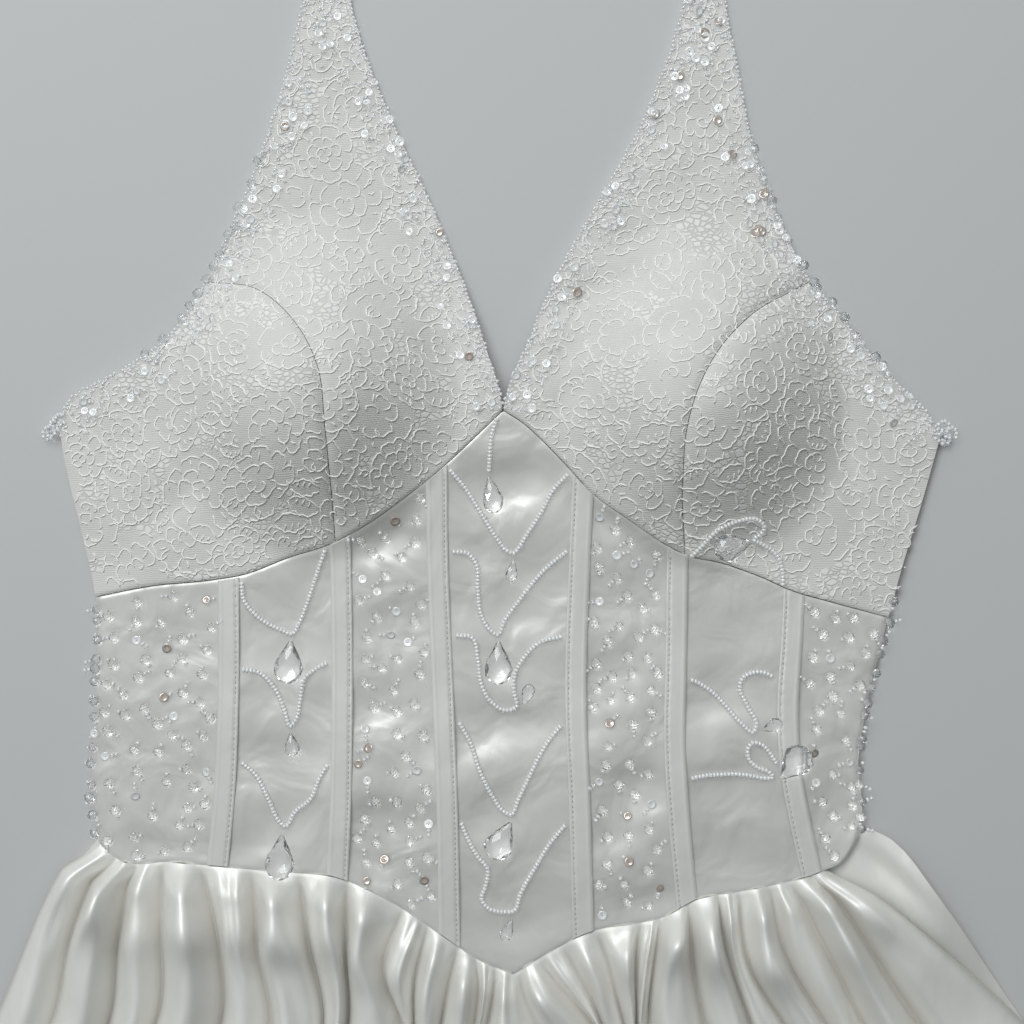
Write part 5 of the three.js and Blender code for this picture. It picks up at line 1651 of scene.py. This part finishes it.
# %% Crystal drops
DROPS = {  # tip x and y, direction in degrees, length and width
    "drop_centre_1": (-6.3, 173.3, -80, 16.5, 9.5), "drop_centre_2": (5, 136.2, -100, 10, 5.5),
    "drop_centre_3": (-2, 99.5, -90, 19, 13), "drop_centre_4": (8.8, 71, 67, 10, 6),
    "drop_centre_5": (3.4, 18.6, -118, 18, 13.5), "drop_centre_6": (4.1, -25, -112, 10.5, 6),
    "drop_left_1": (-95, 99.8, -95, 19, 13.5), "drop_left_2": (-95.4, 58.4, -83, 10.5, 7),
    "drop_left_3": (-98.6, 13.2, -95, 20, 13.5), "drop_right_1": (110.2, 144.2, 195, 16.5, 12.5),
    "drop_right_2": (116.4, 59.6, 22, 9.5, 6.5), "drop_right_3": (124.7, 38.3, 48, 17.5, 14.5),
}
DROP_FLATNESS, DROP_SIDES = 0.5, 9
DROP_RINGS = np.array([(0.0, 0.12, 0.2), (0.12, 0.30, 0.36), (0.28, 0.56, 0.66), (0.46, 0.84, 0.9),
                       (0.64, 1.0, 1.0), (0.80, 0.90, 0.86), (0.92, 0.64, 0.62), (1.0, 0.26, 0.34)])
unit, faces = lathe([(1, at) for at in DROP_RINGS[:, 0]], DROP_SIDES, twist=0.5)
wide, thick = np.repeat(DROP_RINGS[:, 1:], DROP_SIDES, axis=0).T / 2
for name, (x, y, turn, length, width) in DROPS.items():
    low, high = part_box(name)
    along, across = unit[:, 2] * length, wide * width * unit[:, 0]
    height = thick * width * DROP_FLATNESS * unit[:, 1] + (low[2] + high[2]) / 2 / MM
    c, s = math.cos(math.radians(turn)), math.sin(math.radians(turn))
    points = np.stack([x + along * c - across * s, y + along * s + across * c, height], -1)
    piece = make_object(name + "_glass", points, faces, crystal_glass, body=name, smooth=False)
    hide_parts(name)

# %% [markdown]
# ## Cords of the lace
#
# The cord is a thick soft thread, couched along each petal's outline. It is kept only where lace lies under
# it, and it rests half sunk in the net. Here are the edges that it must stay within.

# %% Edges of the lace
OUTLINES = {}
for side in ("left", "right"):
    outer = curve(ARMHOLE[side] + STRAP_OUTER[side][1:])(even(200))
    inner = curve(NECK_EDGE[side] + STRAP_INNER[side][1:])(even(200))
    foot_x = np.linspace(inner[0, 0], float(SIDE_EDGE[side](120)), 80)
    foot = np.stack([foot_x, underbust(foot_x) + 1.5], -1)
    OUTLINES[side] = np.concatenate([foot, outer, inner[::-1]])

# %% [markdown]
# Each kept stretch becomes a thin tube whose ends taper off. Four sides are enough at this size.

# %% Lace cords
CORD_RADIUS, CORD_SIDES, CORD_LIFT, SHORTEST_CORD = 0.36, 4, 0.1, 4
cord_points, cord_faces, used = [], [], 0
around = np.arange(CORD_SIDES) * 2 * math.pi / CORD_SIDES + math.pi / 4
for xy in cords:
    side = "left" if xy[:, 0].mean() < 0 else "right"
    good = inside(OUTLINES[side], xy[:, 0], xy[:, 1]).astype(int)
    jumps = np.diff(np.concatenate([[0], good, [0]]))
    for start, stop in zip(np.nonzero(jumps == 1)[0], np.nonzero(jumps == -1)[0]):
        if stop - start < SHORTEST_CORD:
            continue
        places, normal = seat(xy[start:stop])
        normal = normal + np.roll(normal, 1, 0) + np.roll(normal, -1, 0)
        normal /= np.linalg.norm(normal, axis=1, keepdims=True)
        centre = places + normal * CORD_LIFT
        across = np.cross(np.gradient(centre, axis=0), normal)
        across /= np.maximum(np.linalg.norm(across, axis=1, keepdims=True), 1e-9)
        n = stop - start
        taper = np.clip(np.minimum(np.arange(n), np.arange(n)[::-1]) / 1.5 + 0.4, 0, 1)
        ring = (across[:, None] * np.cos(around)[None, :, None]
                + normal[:, None] * np.sin(around)[None, :, None])
        tube = centre[:, None] + ring * (CORD_RADIUS * taper)[:, None, None]
        ids = used + np.arange(n * CORD_SIDES).reshape(-1, CORD_SIDES)
        nxt = np.roll(ids, -1, axis=1)
        cord_points.append(tube.reshape(-1, 3))
        cord_faces.append(np.stack([ids[:-1], ids[1:], nxt[1:], nxt[:-1]], -1).reshape(-1, 4))
        cord_faces.append(np.stack([ids[0, ::-1], ids[-1]])[:, ::-1])
        used += n * CORD_SIDES
cord_points, cord_faces = np.concatenate(cord_points), np.concatenate(cord_faces)
print("cord faces:", len(cord_faces))

# %% [markdown]
# Cord and sewing thread are both twisted, which a fine diagonal wave shows.

# %% Threads
def thread_material(name, color, scale, distance):
    material, tree, shader = new_material(name, color, 0.5, Sheen_Weight=0.3)
    plies = add_node(tree, "ShaderNodeTexWave", {"bands_direction": "DIAGONAL"}, Vector=object_place(tree),
                     Scale=scale)
    roughen(tree, shader, plies.outputs["Fac"], strength=0.4, distance=distance)
    return material


cord_thread = thread_material("lace cord", (0.94, 0.93, 0.895), 420.0, 0.0002)
face_x = cord_points[cord_faces[:, 0], 0]
for part, chosen in (("left", cord_faces[face_x < 0]), ("right", cord_faces[face_x >= 0])):
    used_ids, renumbered = np.unique(chosen, return_inverse=True)
    make_object(f"lace_cords_{part}", cord_points[used_ids], [renumbered.reshape(-1, 4)], cord_thread)

# %% [markdown]
# ## Topstitching
#
# One row of short stitches runs down each casing, in the groove that it pulls, 2.3 mm from stitch to stitch.

# %% Topstitching
STITCH_PITCH, STITCH_BOX, STITCH_SUNK, STITCH_END = 2.3, [1.5, 0.4, 0.36], 0.72, 3
stitch_places, stitch_turns = [], []
for name, seam in SEAMS.items():
    groove = (STITCH_AT[name.split("_")[0]] - 0.5) * CASING_WIDTH
    low = float(waist(seam(0) + groove)) + STITCH_END
    high = float(underbust(seam(140) + groove)) - STITCH_END
    for y in np.arange(low, high, STITCH_PITCH):
        x = float(seam(y)) + groove
        slope = (float(seam(y + 1)) - float(seam(y - 1))) / 2
        stitch_places.append((x, y, float(casing_under(x, y)) + CASING_WALL - STITCH_SUNK))
        stitch_turns.append(math.atan2(1, slope))
n = len(stitch_places)
points, faces = boxes(stitch_places, np.tile(STITCH_BOX, (n, 1)), np.array(stitch_turns))
stitch_thread = thread_material("stitch thread", (0.56, 0.55, 0.52), 900.0, 0.0001)
make_object("casing_stitches", points, [faces], stitch_thread)
print("stitches:", n)

# %% [markdown]
# ## Table
#
# A plain pale table, just below the lowest cloth, so that the two never flicker through each other.

# %% Table
TABLE_HALF, TABLE_DROP = 6, 0.0004
floor_mesh = bpy.data.meshes.new("table")
floor_mesh.from_pydata([(x * TABLE_HALF, y * TABLE_HALF, -TABLE_DROP)
                        for x, y in ((-1, -1), (1, -1), (1, 1), (-1, 1))], [], [(0, 1, 2, 3)])
floor_material = new_material("table", (0.55, 0.55, 0.54), 0.8)[0]
floor_mesh.materials.append(floor_material)
floor = bpy.data.objects.new("table", floor_mesh)
bpy.context.scene.collection.objects.link(floor)
floor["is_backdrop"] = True

# %% [markdown]
# ## Light
#
# One broad light like a window stands beyond the neck end, so every fold has a bright and a dark side. Two
# small lamps put sparks into the glass.

# %% Lights
LIT_PLACE = Vector((0.0, 0.40, 0.0))


def area_light(name, place, size, watts, color):
    light = bpy.data.lights.new(name, "AREA")
    light.shape, light.size, light.size_y = "RECTANGLE", size[0], size[1]
    light.energy, light.color = watts, color
    holder = bpy.data.objects.new(name, light)
    holder.location = place
    holder.rotation_euler = (LIT_PLACE - Vector(place)).to_track_quat("-Z", "Y").to_euler()
    bpy.context.scene.collection.objects.link(holder)


area_light("window", (-0.55, 1.50, 1.50), size=(1.3, 0.9), watts=23, color=(0.95, 0.985, 1.0))
area_light("lamp", (0.35, 1.30, 1.60), size=(0.05, 0.05), watts=0.3, color=(1.0, 0.98, 0.95))
area_light("side lamp", (-1.0, 0.75, 1.3), size=(0.05, 0.05), watts=0.22, color=(1.0, 0.99, 0.97))

# %% [markdown]
# The room around the dress is a plain sky, brighter towards the window and dim on the other side. Satin and
# glass mirror it, and the colours are shown as they come, without a film look.

# %% Sky
TO_WINDOW = (-0.3, 0.55, 0.78)
world = bpy.data.worlds.new("studio")
world.use_nodes = True
tree = world.node_tree
sky = tree.nodes["Background"]
sky.inputs[0].default_value = (0.93, 0.97, 1.0, 1)
direction = add_node(tree, "ShaderNodeTexCoord").outputs["Generated"]
towards = add_node(tree, "ShaderNodeVectorMath", {"operation": "DOT_PRODUCT"}, i0=direction, i1=TO_WINDOW)
glow = add_node(tree, "ShaderNodeMapRange", Value=towards.outputs["Value"], From_Min=0.1, From_Max=0.95,
                To_Min=0.10, To_Max=0.55)
tree.links.new(glow.outputs[0], sky.inputs[1])
bpy.context.scene.world = world
bpy.context.scene.view_settings.view_transform = "Standard"

# %% [markdown]
# ## Camera
#
# The camera looks straight down at the bodice from 0.75 m above it. Its lens is worked out from the 461 mm of
# dress that should fill the picture's width.

# %% Camera
SENSOR, CAMERA_HEIGHT, VIEW_WIDTH, BODICE_TOP = 36.0, 0.75, 0.4608, 0.008
CAMERA_X, CAMERA_Y = 0.00405, 0.1575
camera = bpy.data.cameras.new("camera")
camera.sensor_width = SENSOR
camera.lens = SENSOR * CAMERA_HEIGHT / VIEW_WIDTH
eye = bpy.data.objects.new("camera", camera)
eye.location = (CAMERA_X, CAMERA_Y + SHIFT * MM, CAMERA_HEIGHT + BODICE_TOP)
bpy.context.scene.collection.objects.link(eye)
bpy.context.scene.camera = eye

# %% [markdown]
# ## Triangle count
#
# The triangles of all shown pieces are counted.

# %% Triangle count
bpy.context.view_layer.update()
triangles = sum(len(p.vertices) - 2 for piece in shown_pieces() for p in piece.data.polygons)
print("triangles shown:", triangles)
